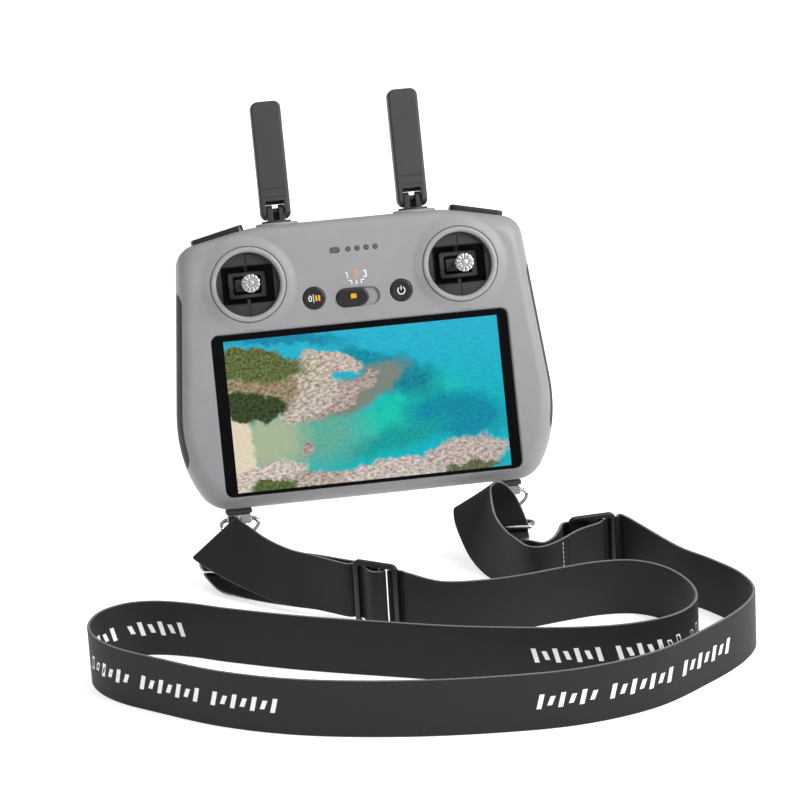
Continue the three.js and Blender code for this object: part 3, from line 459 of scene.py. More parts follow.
# The picture on the screen, seen straight down from the air. Places run from 0,0 at the lower
# left to 16,9 at the upper right; each patch is a soft-edged oval with a ragged shore.
seaPicture = {
    "water": ("#10b4c2", "#2fb6d8"),
    "patches": [
        # what, middle, half sizes, turn, softness, shade a, shade b
        ("shoal", (9.8, 3.4), (3.6, 1.5), 25, 0.9, "#1ccfb4", "#14bfae"),
        ("weed", (13.4, 3.3), (2.9, 1.35), -8, 0.5, "#0b7f9c", "#0c98ac"),
        ("weed", (10.3, 5.9), (2.2, 1.1), -18, 0.6, "#0d6f83", "#1596a4"),
        ("weed", (9.0, 7.0), (2.4, 0.45), -24, 0.6, "#0f7d95", "#149fb2"),
        ("weed", (3.6, 8.75), (3.6, 0.35), -5, 0.7, "#1682a3", "#1895b4"),
        ("weed", (9.5, 2.2), (3.4, 0.7), 12, 0.7, "#0f8f94", "#19a9a4"),
        ("shallow", (4.4, 2.9), (3.3, 1.9), 4, 0.7, "#4aa694", "#6fb8a2"),
        ("shallow", (2.3, 2.8), (1.9, 1.7), 0, 0.8, "#9db694", "#b4bd9c"),
        ("reef", (7.9, 5.3), (3.0, 0.95), 24, 0.35, "#5e8f86", "#8f8377"),
        ("rock", (6.7, 5.0), (2.6, 0.6), 28, 0.22, "#d2c2b6", "#6d5f5a"),
        ("rock", (5.0, 4.9), (2.1, 0.75), 30, 0.2, "#e6dccf", "#7a6b62"),
        ("rock", (6.4, 7.15), (1.9, 0.55), -12, 0.2, "#ead8cc", "#84706a"),
        ("rock", (4.3, 6.2), (2.1, 1.1), 18, 0.2, "#e9dcc9", "#6b5c4e"),
        ("sand", (0.3, 2.6), (1.0, 2.4), 0, 0.25, "#efe5cf", "#d9c9ab"),
        ("rock", (1.6, 5.6), (2.6, 1.5), 0, 0.2, "#b9a684", "#4d4a36"),
        ("scrub", (1.3, 7.4), (3.4, 1.0), -9, 0.22, "#7b8a50", "#353f22"),
        ("scrub", (1.3, 4.9), (2.2, 0.85), -5, 0.2, "#4a5c33", "#1d2618"),
        ("rock", (4.4, 2.15), (0.55, 0.22), 18, 0.2, "#c9b3a8", "#7e6d66"),
        ("rock", (1.6, 0.5), (2.6, 0.9), 12, 0.25, "#efe4da", "#8d7b72"),
        ("rock", (5.0, 0.1), (3.2, 0.65), 0, 0.3, "#d8c8bd", "#77675f"),
        ("rock", (9.3, 0.25), (2.9, 0.8), 4, 0.25, "#eadfd6", "#83726a"),
        ("rock", (13.9, 0.9), (2.5, 1.0), 6, 0.22, "#e2d4cb", "#7d6a63"),
        ("scrub", (2.2, 0.1), (1.4, 0.5), 0, 0.25, "#6e8047", "#33411f"),
        ("scrub", (14.0, 0.0), (1.9, 0.35), 4, 0.3, "#76805c", "#454c30"),
    ],
}


def litDisplay(width, height):
    material, tree, shader, place = newMaterial("litDisplay", Roughness=0.08, IOR=1.5, Specular_IOR_Level=0.1)
    # the picture lies on x and z of the controller, in units of a ninth of its height
    ninth = height * mm / 9
    flat = addNode(tree, "ShaderNodeMapping", {"Vector": place.outputs["Object"],
                                               "Rotation": (math.radians(-90), 0, 0),
                                               "Location": (width * mm / 2 / ninth, 4.5, 0),
                                               "Scale": (1 / ninth, 1 / ninth, 1 / ninth)})
    here = flat.outputs["Vector"]
    shore = addNode(tree, "ShaderNodeTexNoise", {"Vector": here, "Scale": 1.1, "Detail": 8.0, "Roughness": 0.62})
    ragged = addNode(tree, "ShaderNodeVectorMath", {0: shore.outputs["Color"], 1: (0.5, 0.5, 0.5)},
                     operation="SUBTRACT")
    ragged = addNode(tree, "ShaderNodeVectorMath", {0: ragged.outputs["Vector"], "Scale": 1.5}, operation="SCALE")
    bent = addNode(tree, "ShaderNodeVectorMath", {0: here, 1: ragged.outputs["Vector"]}, operation="ADD")
    # ripples on the water, crumbled rock in leaning beds, and clumps of scrub
    swell = addNode(tree, "ShaderNodeMapping", {"Vector": here, "Rotation": (0, 0, math.radians(12)),
                                                "Scale": (1.2, 7.0, 1.0)})
    ripple = addNode(tree, "ShaderNodeTexNoise", {"Vector": swell.outputs["Vector"], "Scale": 1.6, "Detail": 3.0})
    beds = addNode(tree, "ShaderNodeMapping", {"Vector": here, "Rotation": (0, 0, math.radians(-38)),
                                               "Scale": (2.4, 4.0, 1.0)})
    crumble = addNode(tree, "ShaderNodeTexNoise", {"Vector": beds.outputs["Vector"], "Scale": 1.5, "Detail": 9.0,
                                                   "Roughness": 0.66})
    clump = addNode(tree, "ShaderNodeTexNoise", {"Vector": here, "Scale": 5.2, "Detail": 8.0, "Roughness": 0.72})
    grain = {"shoal": (ripple, 0.35, 0.65), "weed": (crumble, 0.4, 0.62), "shallow": (clump, 0.35, 0.65),
             "reef": (crumble, 0.42, 0.6), "rock": (crumble, 0.34, 0.62), "sand": (clump, 0.3, 0.7),
             "scrub": (clump, 0.38, 0.62)}
    split = addNode(tree, "ShaderNodeSeparateXYZ", {"Vector": here})
    height = addNode(tree, "ShaderNodeMapRange", {"Value": split.outputs["Y"], "From Min": 4.0, "From Max": 10.0})
    paint = addNode(tree, "ShaderNodeMix", {"Factor": height.outputs["Result"],
                                            "A": linear(seaPicture["water"][0]),
                                            "B": linear(seaPicture["water"][1])}, data_type="RGBA")
    glint = addNode(tree, "ShaderNodeMapRange", {"Value": ripple.outputs["Fac"], "From Min": 0.25,
                                                 "From Max": 0.75, "To Min": 0.82, "To Max": 1.18})
    paint = addNode(tree, "ShaderNodeMix", {"Factor": 1.0, "A": paint.outputs["Result"],
                                            "B": glint.outputs["Result"]}, data_type="RGBA", blend_type="MULTIPLY")
    for what, middle, sizes, turn, soft, shadeA, shadeB in seaPicture["patches"]:
        oval = addNode(tree, "ShaderNodeMapping", {"Vector": bent.outputs["Vector"],
                                                   "Location": (middle[0], middle[1], 0),
                                                   "Rotation": (0, 0, math.radians(turn)),
                                                   "Scale": (sizes[0], sizes[1], 1000.0)}, vector_type="TEXTURE")
        reach = addNode(tree, "ShaderNodeVectorMath", {0: oval.outputs["Vector"]}, operation="LENGTH")
        cover = addNode(tree, "ShaderNodeMapRange", {"Value": reach.outputs["Value"], "From Min": 1 + soft / 2,
                                                     "From Max": 1 - soft / 2})
        texture, low, high = grain[what]
        tone = addNode(tree, "ShaderNodeMapRange", {"Value": texture.outputs["Fac"], "From Min": high,
                                                    "From Max": low})
        shade = addNode(tree, "ShaderNodeMix", {"Factor": tone.outputs["Result"], "A": linear(shadeA),
                                                "B": linear(shadeB)}, data_type="RGBA")
        paint = addNode(tree, "ShaderNodeMix", {"Factor": cover.outputs["Result"], "A": paint.outputs["Result"],
                                                "B": shade.outputs["Result"]}, data_type="RGBA")
    shader.inputs["Base Color"].default_value = linear("#0a0a0b")
    tree.links.new(paint.outputs["Result"], shader.inputs["Emission Color"])
    shader.inputs["Emission Strength"].default_value = 0.95
    return material


finishes = {name: mouldedPlastic(name) for name in plastics}
finishes.update(chrome=chromedZinc(), aluminium=turnedAluminium(), nickel=rolledNickel(), board=solderMask(),
                cell=cellWrap(), lens=lightGuide(), thread=polyesterThread(), webbing=wovenPolyester(),
                glass=coverGlass(), whiteInk=printedInk("whiteInk", "#f0f0f0"),
                orangeInk=printedInk("orangeInk", "#f29a1f"))
print("materials ready")

# ---------- the case ----------
caseSize = {"halfWidth": 85.2, "top": 82, "bottom": -40.8, "faceY": -0.8, "splitY": 19, "rearY": 28,
            "bulge": 16, "wall": 2.4, "frontWall": 3.0, "seam": 0.3, "gap": 0.2, "points": 260}
outlineMidZ = (caseSize["top"] + caseSize["bottom"]) / 2
screenSize = {"width": 131.2, "height": 70.8, "thick": 1.1, "litWidth": 121.5, "litHeight": 66.7, "litX": 0.25,
              "litZ": -0.65}
stickSize = {"x": 47, "z": 56.7, "pivotY": 9, "ringOuter": 16.5, "ringInner": 14.1, "tipY": -18, "knob": 4}
switchSize = {"centre": (0.6, 46.7), "slot": (19.2, 8), "knob": (14.2, 7.6)}
buttonSpots = {"home_button": (-18.8, 47.9), "power_button": (19.9, 47.7)}
buttonRadius = 4.75
lampRow = {"z": 68, "pill": (-7.7, 4.1, 2.0), "dots": (-1.7, 2.3, 6.3, 10.3), "dot": 1.9}
gripSize = {"y": 32.2, "z": 17.3, "deep": 60, "tall": 76.6, "radius": 6, "inner": 66}
dialSize = {"centre": (56, 26.2, 62.5), "radius": 6.8, "width": 6}
rearButton = {"x": 43, "z": 30, "radius": 4}
antennaSize = {"x": 30.6, "y": 15.5, "pinZ": 88.4, "width": 13.3, "thick": 8, "top": 137}
bracketSize = {"x": 60.3, "y": 15, "wire": 0.95}


def bodyOutline(count):
    half = [(43, 82, 10), (caseSize["halfWidth"] - 9, 75, 8), (caseSize["halfWidth"], -18, 22),
            (71.5, caseSize["bottom"], 8)]
    corners = half + [(-x, z, r) for x, z, r in reversed(half)]
    start = Vector((0, caseSize["top"]))
    dense = [start]
    for i, (x, z, r) in enumerate(corners):
        here = Vector((x, z))
        before = Vector(corners[i - 1][:2]) if i else start
        after = Vector(corners[i + 1][:2]) if i + 1 < len(corners) else start
        # where two curves would overlap on a side, the longer one gives way
        spare = [corners[j][2] if 0 <= j < len(corners) else 0 for j in (i - 1, i + 1)]
        a = here + (before - here).normalized() * min(r, max((before - here).length - spare[0], 8))
        c = here + (after - here).normalized() * min(r, max((after - here).length - spare[1], 8))
        for k in range(25):
            t = k / 24
            dense.append(a * (1 - t) ** 2 + here * 2 * t * (1 - t) + c * t * t)
    dense.append(start)
    lengths = [0.0]
    for a, b in zip(dense, dense[1:]):
        lengths.append(lengths[-1] + (b - a).length)
    points, k = [], 0
    for i in range(count):
        want = lengths[-1] * i / count
        while lengths[k + 1] < want:
            k += 1
        share = (want - lengths[k]) / max(1e-9, lengths[k + 1] - lengths[k])
        points.append(dense[k].lerp(dense[k + 1], share))
    return points


def insetRing(outline, inset, depth):
    sx = 1 - inset / caseSize["halfWidth"]
    sz = 1 - inset / (caseSize["top"] - outlineMidZ)
    ring = []
    for p in outline:
        x, z = p.x * sx, outlineMidZ + (p.y - outlineMidZ) * sz
        ring.append((x, depth(x, z), z))
    return ring


def smoothStep(a, b, value):
    t = min(1.0, max(0.0, (value - a) / (b - a)))
    return t * t * (3 - 2 * t)


def rearDepth(x, z):
    across = smoothStep(34, 60, abs(x)) * (1 - 0.7 * smoothStep(64, 86, abs(x)))
    along = smoothStep(-44, -14, z) * (1 - smoothStep(22, 60, z))
    return caseSize["rearY"] + caseSize["bulge"] * across * along


def frontRings(inset, frontInset, count, upTo, edge=0.0, steps=9):
    outline = bodyOutline(count)
    front = caseSize["faceY"] + frontInset
    rings = [insetRing(outline, inset + extra, lambda x, z: front) for extra in range(55, 8, -4)]
    for k in range(steps + 1):
        turn = k / steps * math.pi / 2
        depth = front + 9 * (1 - math.cos(turn))
        rings.append(insetRing(outline, inset + 7 * (1 - math.sin(turn)), lambda x, z: depth))
    rings.append([(x, upTo - edge, z) for x, _, z in rings[-1]])
    if edge:
        rings.append(insetRing(outline, inset + edge, lambda x, z: upTo))
    return rings


def rearRings(inset, count, fromY, edge=0.0, steps=9):
    outline = bodyOutline(count)
    splitY = caseSize["splitY"]
    rings = [insetRing(outline, inset + edge, lambda x, z: fromY)] if edge else []
    rings.append(insetRing(outline, inset, lambda x, z: fromY + edge))
    for k in range(1, steps + 1):
        turn = k / steps * math.pi / 2
        lift = math.sin(turn)
        low = max(splitY, fromY + edge)
        rings.append(insetRing(outline, inset + 9 * (1 - math.cos(turn)),
                               lambda x, z: low + (rearDepth(x, z) - inset - low) * lift))
    for extra in range(12, 60, 3):
        rings.append(insetRing(outline, inset + extra, lambda x, z: rearDepth(x, z) - inset))
    return rings


def gripPrism(sign, grow):
    outline = roundRect(gripSize["y"], gripSize["z"], gripSize["deep"] + 2 * grow, gripSize["tall"] + 2 * grow,
                        gripSize["radius"])
    shape = slab(outline, [(gripSize["inner"] - grow, 0), (gripSize["inner"] + 30, 0)])
    return remap(shape, lambda a, depth, b: (sign * depth, a, b))


def shoulderSlab(sign, grow, low, high, edge=0.0):
    a, b = Vector((45.5, 81.5)), Vector((69.7, 76))
    middle, slope = (a + b) / 2, math.atan2(b.y - a.y, b.x - a.x) * sign
    outline = roundRect(0, 11.5, (b - a).length - 1 + 2 * grow, 10 + 2 * grow, 2.5)
    layers = softLayers(low, high, edge) if edge else [(low, 0), (high, 0)]

    def place(along, up, deep):
        return (sign * middle.x + along * math.cos(slope) - up * math.sin(slope), deep,
                middle.y + along * math.sin(slope) + up * math.cos(slope))
    return remap(slab(outline, layers), place)


def lampOutlines(grow):
    x, width, tall = lampRow["pill"]
    shapes = [roundRect(x, lampRow["z"], width + 2 * grow, tall + 2 * grow, tall / 2 + grow)]
    return shapes + [disc(x, lampRow["z"], lampRow["dot"] / 2 + grow, 24) for x in lampRow["dots"]]


def gripCuts(sign):
    deep = cutter(gripPrism(sign, caseSize["gap"]))
    floor = skin(frontRings(1.5, 1.5, 180, 19)[:-1] + rearRings(1.5, 180, 19)[1:])
    return carve(deep, [cutter(floor)])


def makeFrontShell():
    splitY, faceY, gap = caseSize["splitY"] - caseSize["seam"] / 2, caseSize["faceY"], caseSize["gap"]
    outside = frontRings(0, 0, caseSize["points"], splitY, 0.35)
    inside = frontRings(caseSize["wall"], caseSize["frontWall"], caseSize["points"], splitY)
    case = makeObject("front_case", skin(outside + inside[::-1]))
    collars = []
    for _, sign in sides:
        r = stickSize["ringOuter"] + gap
        # the face swells softly towards each stick ring
        swell = [(r + 5.2 * t, faceY - 0.95 * (1 - smoothStep(0, 1, t)) + 0.002) for t in
                 [i / 10 for i in range(11)]]
        profile = [(r - 1, faceY + 1), (r - 1, faceY - 0.95)] + swell + [(r + 5.2, faceY + 1)]
        collars.append(cutter(turned(profile, sign * stickSize["x"], stickSize["z"], 128, loop=True)))
        pad = slab(disc(sign * antennaSize["x"], antennaSize["y"] - 3.2, 9.6, 96, 6.3 / 9.6),
                   softLayers(caseSize["top"] - 4, caseSize["top"] + 0.95, 0.9))
        pad = remap(pad, lambda x, up, deep: (x, min(deep, splitY), up))
        collars.append(cutter(pad))
    carve(case, collars, "UNION")
    glass = roundRect(0, 0, screenSize["width"] + 0.6, screenSize["height"] + 0.6, 3.3)
    cuts = [
        hole(glass, faceY, screenSize["thick"] + gap, 0.6),
        slab(roundRect(0, 0, 126, 68.4, 1.5), [(0.5, 0), (4, 0)]),
        hole(roundRect(*switchSize["centre"], *switchSize["slot"], 4, 10), faceY, 0.6, 0.35),
        block(-4.9, 4.9, 9, 12.6, caseSize["bottom"] - 3, caseSize["bottom"] + 5),
        block(14.5, 27.5, 9.6, 11.6, caseSize["bottom"] - 3, caseSize["bottom"] + 5),
    ]
    cuts += [hole(disc(x, z, buttonRadius + gap), faceY, 5, 0.3) for x, z in buttonSpots.values()]
    cuts += [hole(outline, faceY, 5, 0.12) for outline in lampOutlines(gap)]
    for _, sign in sides:
        cuts.append(hole(disc(sign * stickSize["x"], stickSize["z"], stickSize["ringOuter"] + gap, 128),
                         faceY - 1, 5, 0.3))
        cuts.append(alongZ(slab(disc(sign * antennaSize["x"], antennaSize["y"], 3.2, 32),
                                [(caseSize["top"] - 6, 0), (caseSize["top"] + 3, 0)])))
        cuts.append(shoulderSlab(sign, gap, -6, 6))
    tools = [cutter(shape) for shape in cuts] + [gripCuts(sign) for _, sign in sides]
    carve(case, tools)
    settle(case, finishes["bodyAbs"], "front_shell")


def makeRearShell():
    splitY, rearY, gap = caseSize["splitY"] + caseSize["seam"] / 2, caseSize["rearY"], caseSize["gap"]
    outside = rearRings(0, caseSize["points"], splitY, 0.35)
    inside = rearRings(caseSize["wall"], caseSize["points"], splitY)
    case = makeObject("rear_case", skin(outside[::-1] + inside))
    x, y, z = dialSize["centre"]
    wide = dialSize["radius"] + 0.8
    cuts = []
    for _, sign in sides:
        cuts.append(block(sign * x - wide, sign * x + wide, y - 3, y + 12, z - 3.6, z + 3.6))
        outline = disc(sign * rearButton["x"], rearButton["z"], rearButton["radius"] + gap)
        cuts.append(slab(outline, [(20, 0), (60, 0)]))
        for height in (-26, 70):
            across = sign * (22 if height > 0 else 34)
            cuts.append(slab(disc(across, height, 2.6, 32), [(rearY - 1, 0), (rearY, 0), (rearY + 3, -3)]))
    for i in range(5):
        vent = roundRect(-16 + 8 * i, -18, 3.6, 16, 1.8)
        cuts.append(slab(vent, [(20, 0), (rearY - 0.5, 0), (rearY + 3, -3.5)]))
    carve(case, [cutter(shape) for shape in cuts] + [gripCuts(sign) for _, sign in sides])
    ears = []
    high = dialSize["width"] / 2 + 0.7
    for _, sign in sides:
        for low in (z - high - 2.2, z + high):
            ears.append(cutter(block(sign * x - 4, sign * x + 4, y - 4, rearY - 1, low, low + 2.2)))
    carve(case, ears, "UNION")
    settle(case, finishes["bodyAbs"], "rear_shell")


def makeGrips():
    for name, sign in sides:
        outer = skin(frontRings(0.05, 0.05, 200, 19)[:-1] + rearRings(0.05, 200, 19)[1:])
        under = skin(frontRings(1.3, 1.3, 200, 19)[:-1] + rearRings(1.3, 200, 19)[1:])
        pad = makeObject(f"side_grip_{name}", outer)
        carve(pad, [cutter(gripPrism(sign, 0))], "INTERSECT")
        carve(pad, [cutter(under)])
        settle(pad, finishes["gripRubber"], f"grip_{name}")


def makeLamps():
    back = caseSize["frontWall"] + caseSize["faceY"]
    strip = makeObject("lamp_strip", block(-11, 13, back + 0.3, back + 1.6, lampRow["z"] - 2, lampRow["z"] + 2))
    pegs = [cutter(slab(outline, softLayers(caseSize["faceY"] - 0.1, back + 0.8, 0.2)))
            for outline in lampOutlines(0)]
    carve(strip, pegs, "UNION")
    settle(strip, finishes["lens"], "status_lights")


def makeScrews():
    for level, height, across in (("low", -26, 34), ("high", 70, 22)):
        for name, sign in sides:
            head = makeObject(f"screw_{level}_{name}", slab(disc(sign * across, height, 2.4, 48),
                              softLayers(caseSize["rearY"] - 0.8, caseSize["rearY"] - 0.1, 0.2)))
            star = [(sign * across + (1.15 if i % 2 else 0.8) * math.cos(math.pi * i / 6),
                     height + (1.15 if i % 2 else 0.8) * math.sin(math.pi * i / 6)) for i in range(12)]
            carve(head, [cutter(slab(drawn(star), [(caseSize["rearY"] - 0.6, 0),
                                                              (caseSize["rearY"] + 1, 0)]))])
            settle(head, finishes["buttonAbs"], f"case_screw_{level}_{name}")


makeFrontShell()
makeRearShell()
makeGrips()
makeLamps()
makeScrews()
print("case made")


# ---------- the screen ----------
def makeScreen():
    glass = roundRect(0, 0, screenSize["width"], screenSize["height"], 3)
    layers = softLayers(0, screenSize["thick"], 0.25)
    lit = roundRect(screenSize["litX"], screenSize["litZ"], screenSize["litWidth"], screenSize["litHeight"], 0.3)
    rings = [[(x, y, z) for x, z in glass(inset)] for y, inset in layers]
    # the lit area is the middle of the front face
    front = [(x, 0, z) for x, z in lit(0)]
    shape = skin([front] + rings)
    pane = makeObject("cover_glass", shape)
    settle(pane, finishes["glass"], "display_glass", angle=20)
    pane.data.materials.append(litDisplay(screenSize["litWidth"], screenSize["litHeight"]))
    middle = min(pane.data.polygons,
                 key=lambda face: face.center.y * 1000 + abs(face.center.z) + abs(face.center.x))
    middle.material_index = 1


makeScreen()
for node, finish in (("display_panel", "cell"), ("mid_frame", "nickel"), ("main_board", "board"),
                     ("battery_pack", "cell"), ("speaker", "wellAbs"), ("charge_port", "nickel"),
                     ("card_reader", "nickel")):
    part = frame["nodes"][node]
    part.data.materials.clear()
    part.data.materials.append(finishes[finish])
print("screen made")


# ---------- the sticks ----------
def makeStick(name, sign):
    cx, cz = sign * stickSize["x"], stickSize["z"]
    outer, inner = stickSize["ringOuter"], stickSize["ringInner"]
    crest = [(inner + 0.02, -1.7), (inner + 0.25, -2.25), (inner + 0.7, -2.6), (inner + 1.2, -2.7),
             (outer - 0.9, -2.7), (outer - 0.4, -2.55), (outer - 0.08, -2.2), (outer, -1.7)]
    profile = crest + [(outer, 2.6), (outer - 1.1, 2.6), (outer - 1.1, 0.3), (inner, 0.3), (inner, -1.2)]
    ring = makeObject(f"ring_{name}", turned(profile, cx, cz, 128, loop=True))
    settle(ring, finishes["ringAbs"], f"stick_ring_{name}")

    cup = makeObject(f"well_{name}", turned([(0, 0.6), (14.8, 0.6), (15, 0.8), (15, 18.8), (0, 18.8)], cx, cz, 96))
    cuts = [turned([(0, 1.7), (13.7, 1.7), (13.7, 17.6), (0, 17.6)], cx, cz, 64),
            hole(roundRect(cx, cz, 22.8, 16.4, 1.0), 0.6, 3, 0.5),
            slab(roundRect(cx, cz + 11.6, 0.4, 5.6, 0.1, 2), [(0.2, 0), (1.1, 0)]),
            slab(roundRect(cx, cz - 11.6, 0.4, 5.6, 0.1, 2), [(0.2, 0), (1.1, 0)]),
            slab(roundRect(cx, cz, 1.3, 32, 0.6, 4),
                 [(stickSize["pivotY"] - 1.4, 0), (stickSize["pivotY"] + 1.4, 0)])]
    carve(cup, [cutter(shape) for shape in cuts])
    settle(cup, finishes["wellAbs"], f"gimbal_housing_{name}")

    yoke = makeObject(f"yoke_{name}", slab(roundRect(cx, cz, 17, 12, 1.2), softLayers(6, 12, 0.7)))
    carve(yoke, [cutter(slab(roundRect(cx, cz, 12.2, 7.8, 0.8), [(4, -2.3), (6.3, 0), (14, 0)]))])
    pins = []
    for low in (cz + 5.0, cz - 14.6):
        pin = slab(disc(cx, stickSize["pivotY"], 1.25, 32), softLayers(low, low + 9.6, 0.2))
        pins.append(cutter(alongZ(pin)))
    carve(yoke, pins, "UNION")
    settle(yoke, finishes["wellAbs"], f"gimbal_yoke_{name}")

    hub = makeObject(f"hub_{name}", slab(roundRect(cx, cz, 11, 5.8, 0.8), softLayers(6.5, 11.5, 0.6)))
    pins = []
    for low in (cx + 5.0, cx - 8.3):
        pin = slab(disc(stickSize["pivotY"], cz, 1.1, 32), softLayers(low, low + 3.3, 0.2))
        pins.append(cutter(alongX(pin)))
    carve(hub, pins, "UNION")
    carve(hub, [cutter(slab(disc(cx, cz, 1.65, 32), [(4, 0), (10, 0)]))])
    settle(hub, finishes["wellAbs"], f"stick_hub_{name}")

    # the cap is cut with twelve notches between a bright centre and the rim
    tip, r = stickSize["tipY"], stickSize["knob"]

    def notch(radius, y, turn):
        if y > tip + 1.2 or radius < 1.5:
            return 0
        depth = 1.5 * smoothStep(1.45, 1.75, radius) * smoothStep(0.35, 0.7, math.cos(12 * turn))
        return depth * (1 - smoothStep(tip + 0.5, tip + 1.2, y))
    top = [(0, tip - 0.1), (0.8, tip - 0.08), (1.2, tip), (1.35, tip + 0.25), (1.5, tip + 0.35), (1.7, tip + 0.1)]
    top += [(1.7 + 0.2 * i, tip) for i in range(1, 9)]
    top += [(r - 0.25, tip + 0.02), (r - 0.08, tip + 0.12), (r, tip + 0.35), (r, tip + 0.7), (r, tip + 1.2)]
    side = [(r - 0.1 * i, tip + 1.2 + 0.75 * i) for i in range(1, 6)]
    side += [(r - 1.1, tip + 7.5), (2.3, tip + 10), (2.3, 6.2), (1.5, 6.2), (1.5, 9), (0, 9)]
    stick = makeObject(f"thumb_stick_{name}", turned(top + side, cx, cz, 192, ribs=notch))
    settle(stick, finishes["aluminium"], f"stick_{name}", angle=40)


for name, sign in sides:
    makeStick(name, sign)
print("sticks made")


# ---------- marks ----------
def stroke(points, width, y, loop=False, lift=0.05):
    # a printed line of even width along a run of points, with square ends
    spots = [Vector(p) for p in points]
    edges = []
    for i, p in enumerate(spots):
        before = spots[i - 1] if i or loop else p
        after = spots[(i + 1) % len(spots)] if loop or i + 1 < len(spots) else p
        way = ((p - before).normalized() + (after - p).normalized()).normalized()
        side = Vector((-way.y, way.x)) * width / 2
        edges.append((p + side, p - side))
    rings = [[(a.x, y, a.y), (b.x, y, b.y), (b.x, y - lift, b.y), (a.x, y - lift, a.y)] for a, b in edges]
    return skin(rings, loop)


def arc(cx, cz, radius, start, end, steps=16):
    turns = [math.radians(start + (end - start) * i / steps) for i in range(steps + 1)]
    return [(cx + radius * math.cos(t), cz + radius * math.sin(t)) for t in turns]


def makeMarks():
    face, line = caseSize["faceY"], 0.5
    numbers = {
        "one": [[(-0.6, 0.9), (0.1, 1.4), (0.1, -1.4)]],
        "two": [arc(0, 0.55, 0.85, 170, -30, 10) + [(-0.85, -1.35), (0.95, -1.35)]],
        "three": [arc(0, 0.68, 0.7, 150, -80, 10), arc(0, -0.66, 0.76, 80, -150, 10)],
    }
    spots = {"one": (-3.3, 56.6), "two": (0.6, 56.8), "three": (4.5, 56.6)}
    for name, lines in numbers.items():
        x, z = spots[name]
        shapes = [stroke([(x + a, z + b) for a, b in points], line, face) for points in lines]
        ink = "orangeInk" if name == "two" else "whiteInk"
        settle(makeObject(f"numeral_{name}", merged(*shapes)), finishes[ink], body="case")
    leaders = [[(-2.9, 54.1), (-1.5, 54.1), (-1.5, 52.4)], [(0.6, 54.1), (0.6, 52.4)],
               [(4.1, 54.1), (2.7, 54.1), (2.7, 52.4)]]
    shapes = [stroke(points, 0.45, face) for points in leaders]
    settle(makeObject("switch_leaders", merged(*shapes)), finishes["whiteInk"], body="case")

    buttonFace = -1.34
    x, z = buttonSpots["home_button"]
    house = [(x - 2.5, z + 0.1), (x - 1.75, z + 1.3), (x - 0.95, z + 0.1)]
    walls = [(x - 2.2, z + 0.2), (x - 2.2, z - 1.2), (x - 1.25, z - 1.2), (x - 1.25, z + 0.2)]
    shapes = [stroke(house, 0.42, buttonFace), stroke(walls, 0.42, buttonFace),
              stroke([(x - 0.25, z + 1.7), (x - 0.25, z - 1.9)], 0.3, buttonFace)]
    settle(makeObject("home_sign", merged(*shapes)), finishes["whiteInk"], body="home_button")
    shapes = [stroke([(x + a, z + 1.15), (x + a, z - 1.35)], 0.85, buttonFace) for a in (0.95, 2.25)]
    settle(makeObject("pause_sign", merged(*shapes)), finishes["orangeInk"], body="home_button")
    x, z = buttonSpots["power_button"]
    shapes = [stroke(arc(x, z - 0.15, 1.6, 125, 415, 30), 0.42, buttonFace),
              stroke([(x, z + 1.9), (x, z + 0.1)], 0.42, buttonFace)]
    settle(makeObject("power_sign", merged(*shapes)), finishes["whiteInk"], body="power_button")


def makeControls():
    for node, (x, z) in buttonSpots.items():
        r, flange = buttonRadius, caseSize["frontWall"] + caseSize["faceY"] + 0.3
        # a shallow dish in the cap and a soft rim
        profile = [(0, -1.16), (r * 0.4, -1.19), (r * 0.7, -1.25), (r - 0.6, -1.3), (r - 0.3, -1.26),
                   (r - 0.08, -1.1), (r, -0.9), (r, flange), (r + 1, flange), (r + 1, flange + 0.8),
                   (0, flange + 0.8)]
        settle(makeObject(f"{node}_cap", turned(profile, x, z)), finishes["buttonAbs"], node)
    rest = switchSize["centre"][0] - (switchSize["slot"][0] - switchSize["knob"][0]) / 2 + caseSize["gap"]
    z = switchSize["centre"][1]
    knob = makeObject("switch_knob", slab(roundRect(rest, z, *switchSize["knob"], 3.8, 12),
                                          softLayers(-2.2, 0.4, 0.9, 5)))
    hollow = slab(roundRect(rest, z, 9.6, 4.4, 2.2, 10), [(-4, -1.2), (-2.2, 0), (-1.75, 1.0)])
    carve(knob, [cutter(hollow)])
    settle(knob, finishes["buttonAbs"], "mode_switch")
    lamp = makeObject("switch_lamp", slab(roundRect(rest + 0.3, z + 0.5, 2.5, 2.1, 0.3),
                                          softLayers(-1.98, -1.5, 0.12)))
    settle(lamp, finishes["orangeInk"], body="mode_switch")
    for name, sign in sides:
        node = "record_button" if sign < 0 else "shutter_button"
        settle(makeObject(f"{node}_cap", shoulderSlab(sign, 0, -3.4, 2.4, 0.9)), finishes["buttonAbs"], node)
        x, z = sign * rearButton["x"], rearButton["z"]
        top = rearDepth(rearButton["x"], z) + 0.9
        cap = makeObject(f"rear_cap_{name}", slab(disc(x, z, rearButton["radius"]), softLayers(top - 5, top, 0.6)))
        settle(cap, finishes["buttonAbs"], f"rear_button_{name}")
        makeDial("tilt_dial" if sign < 0 else "camera_dial", sign)


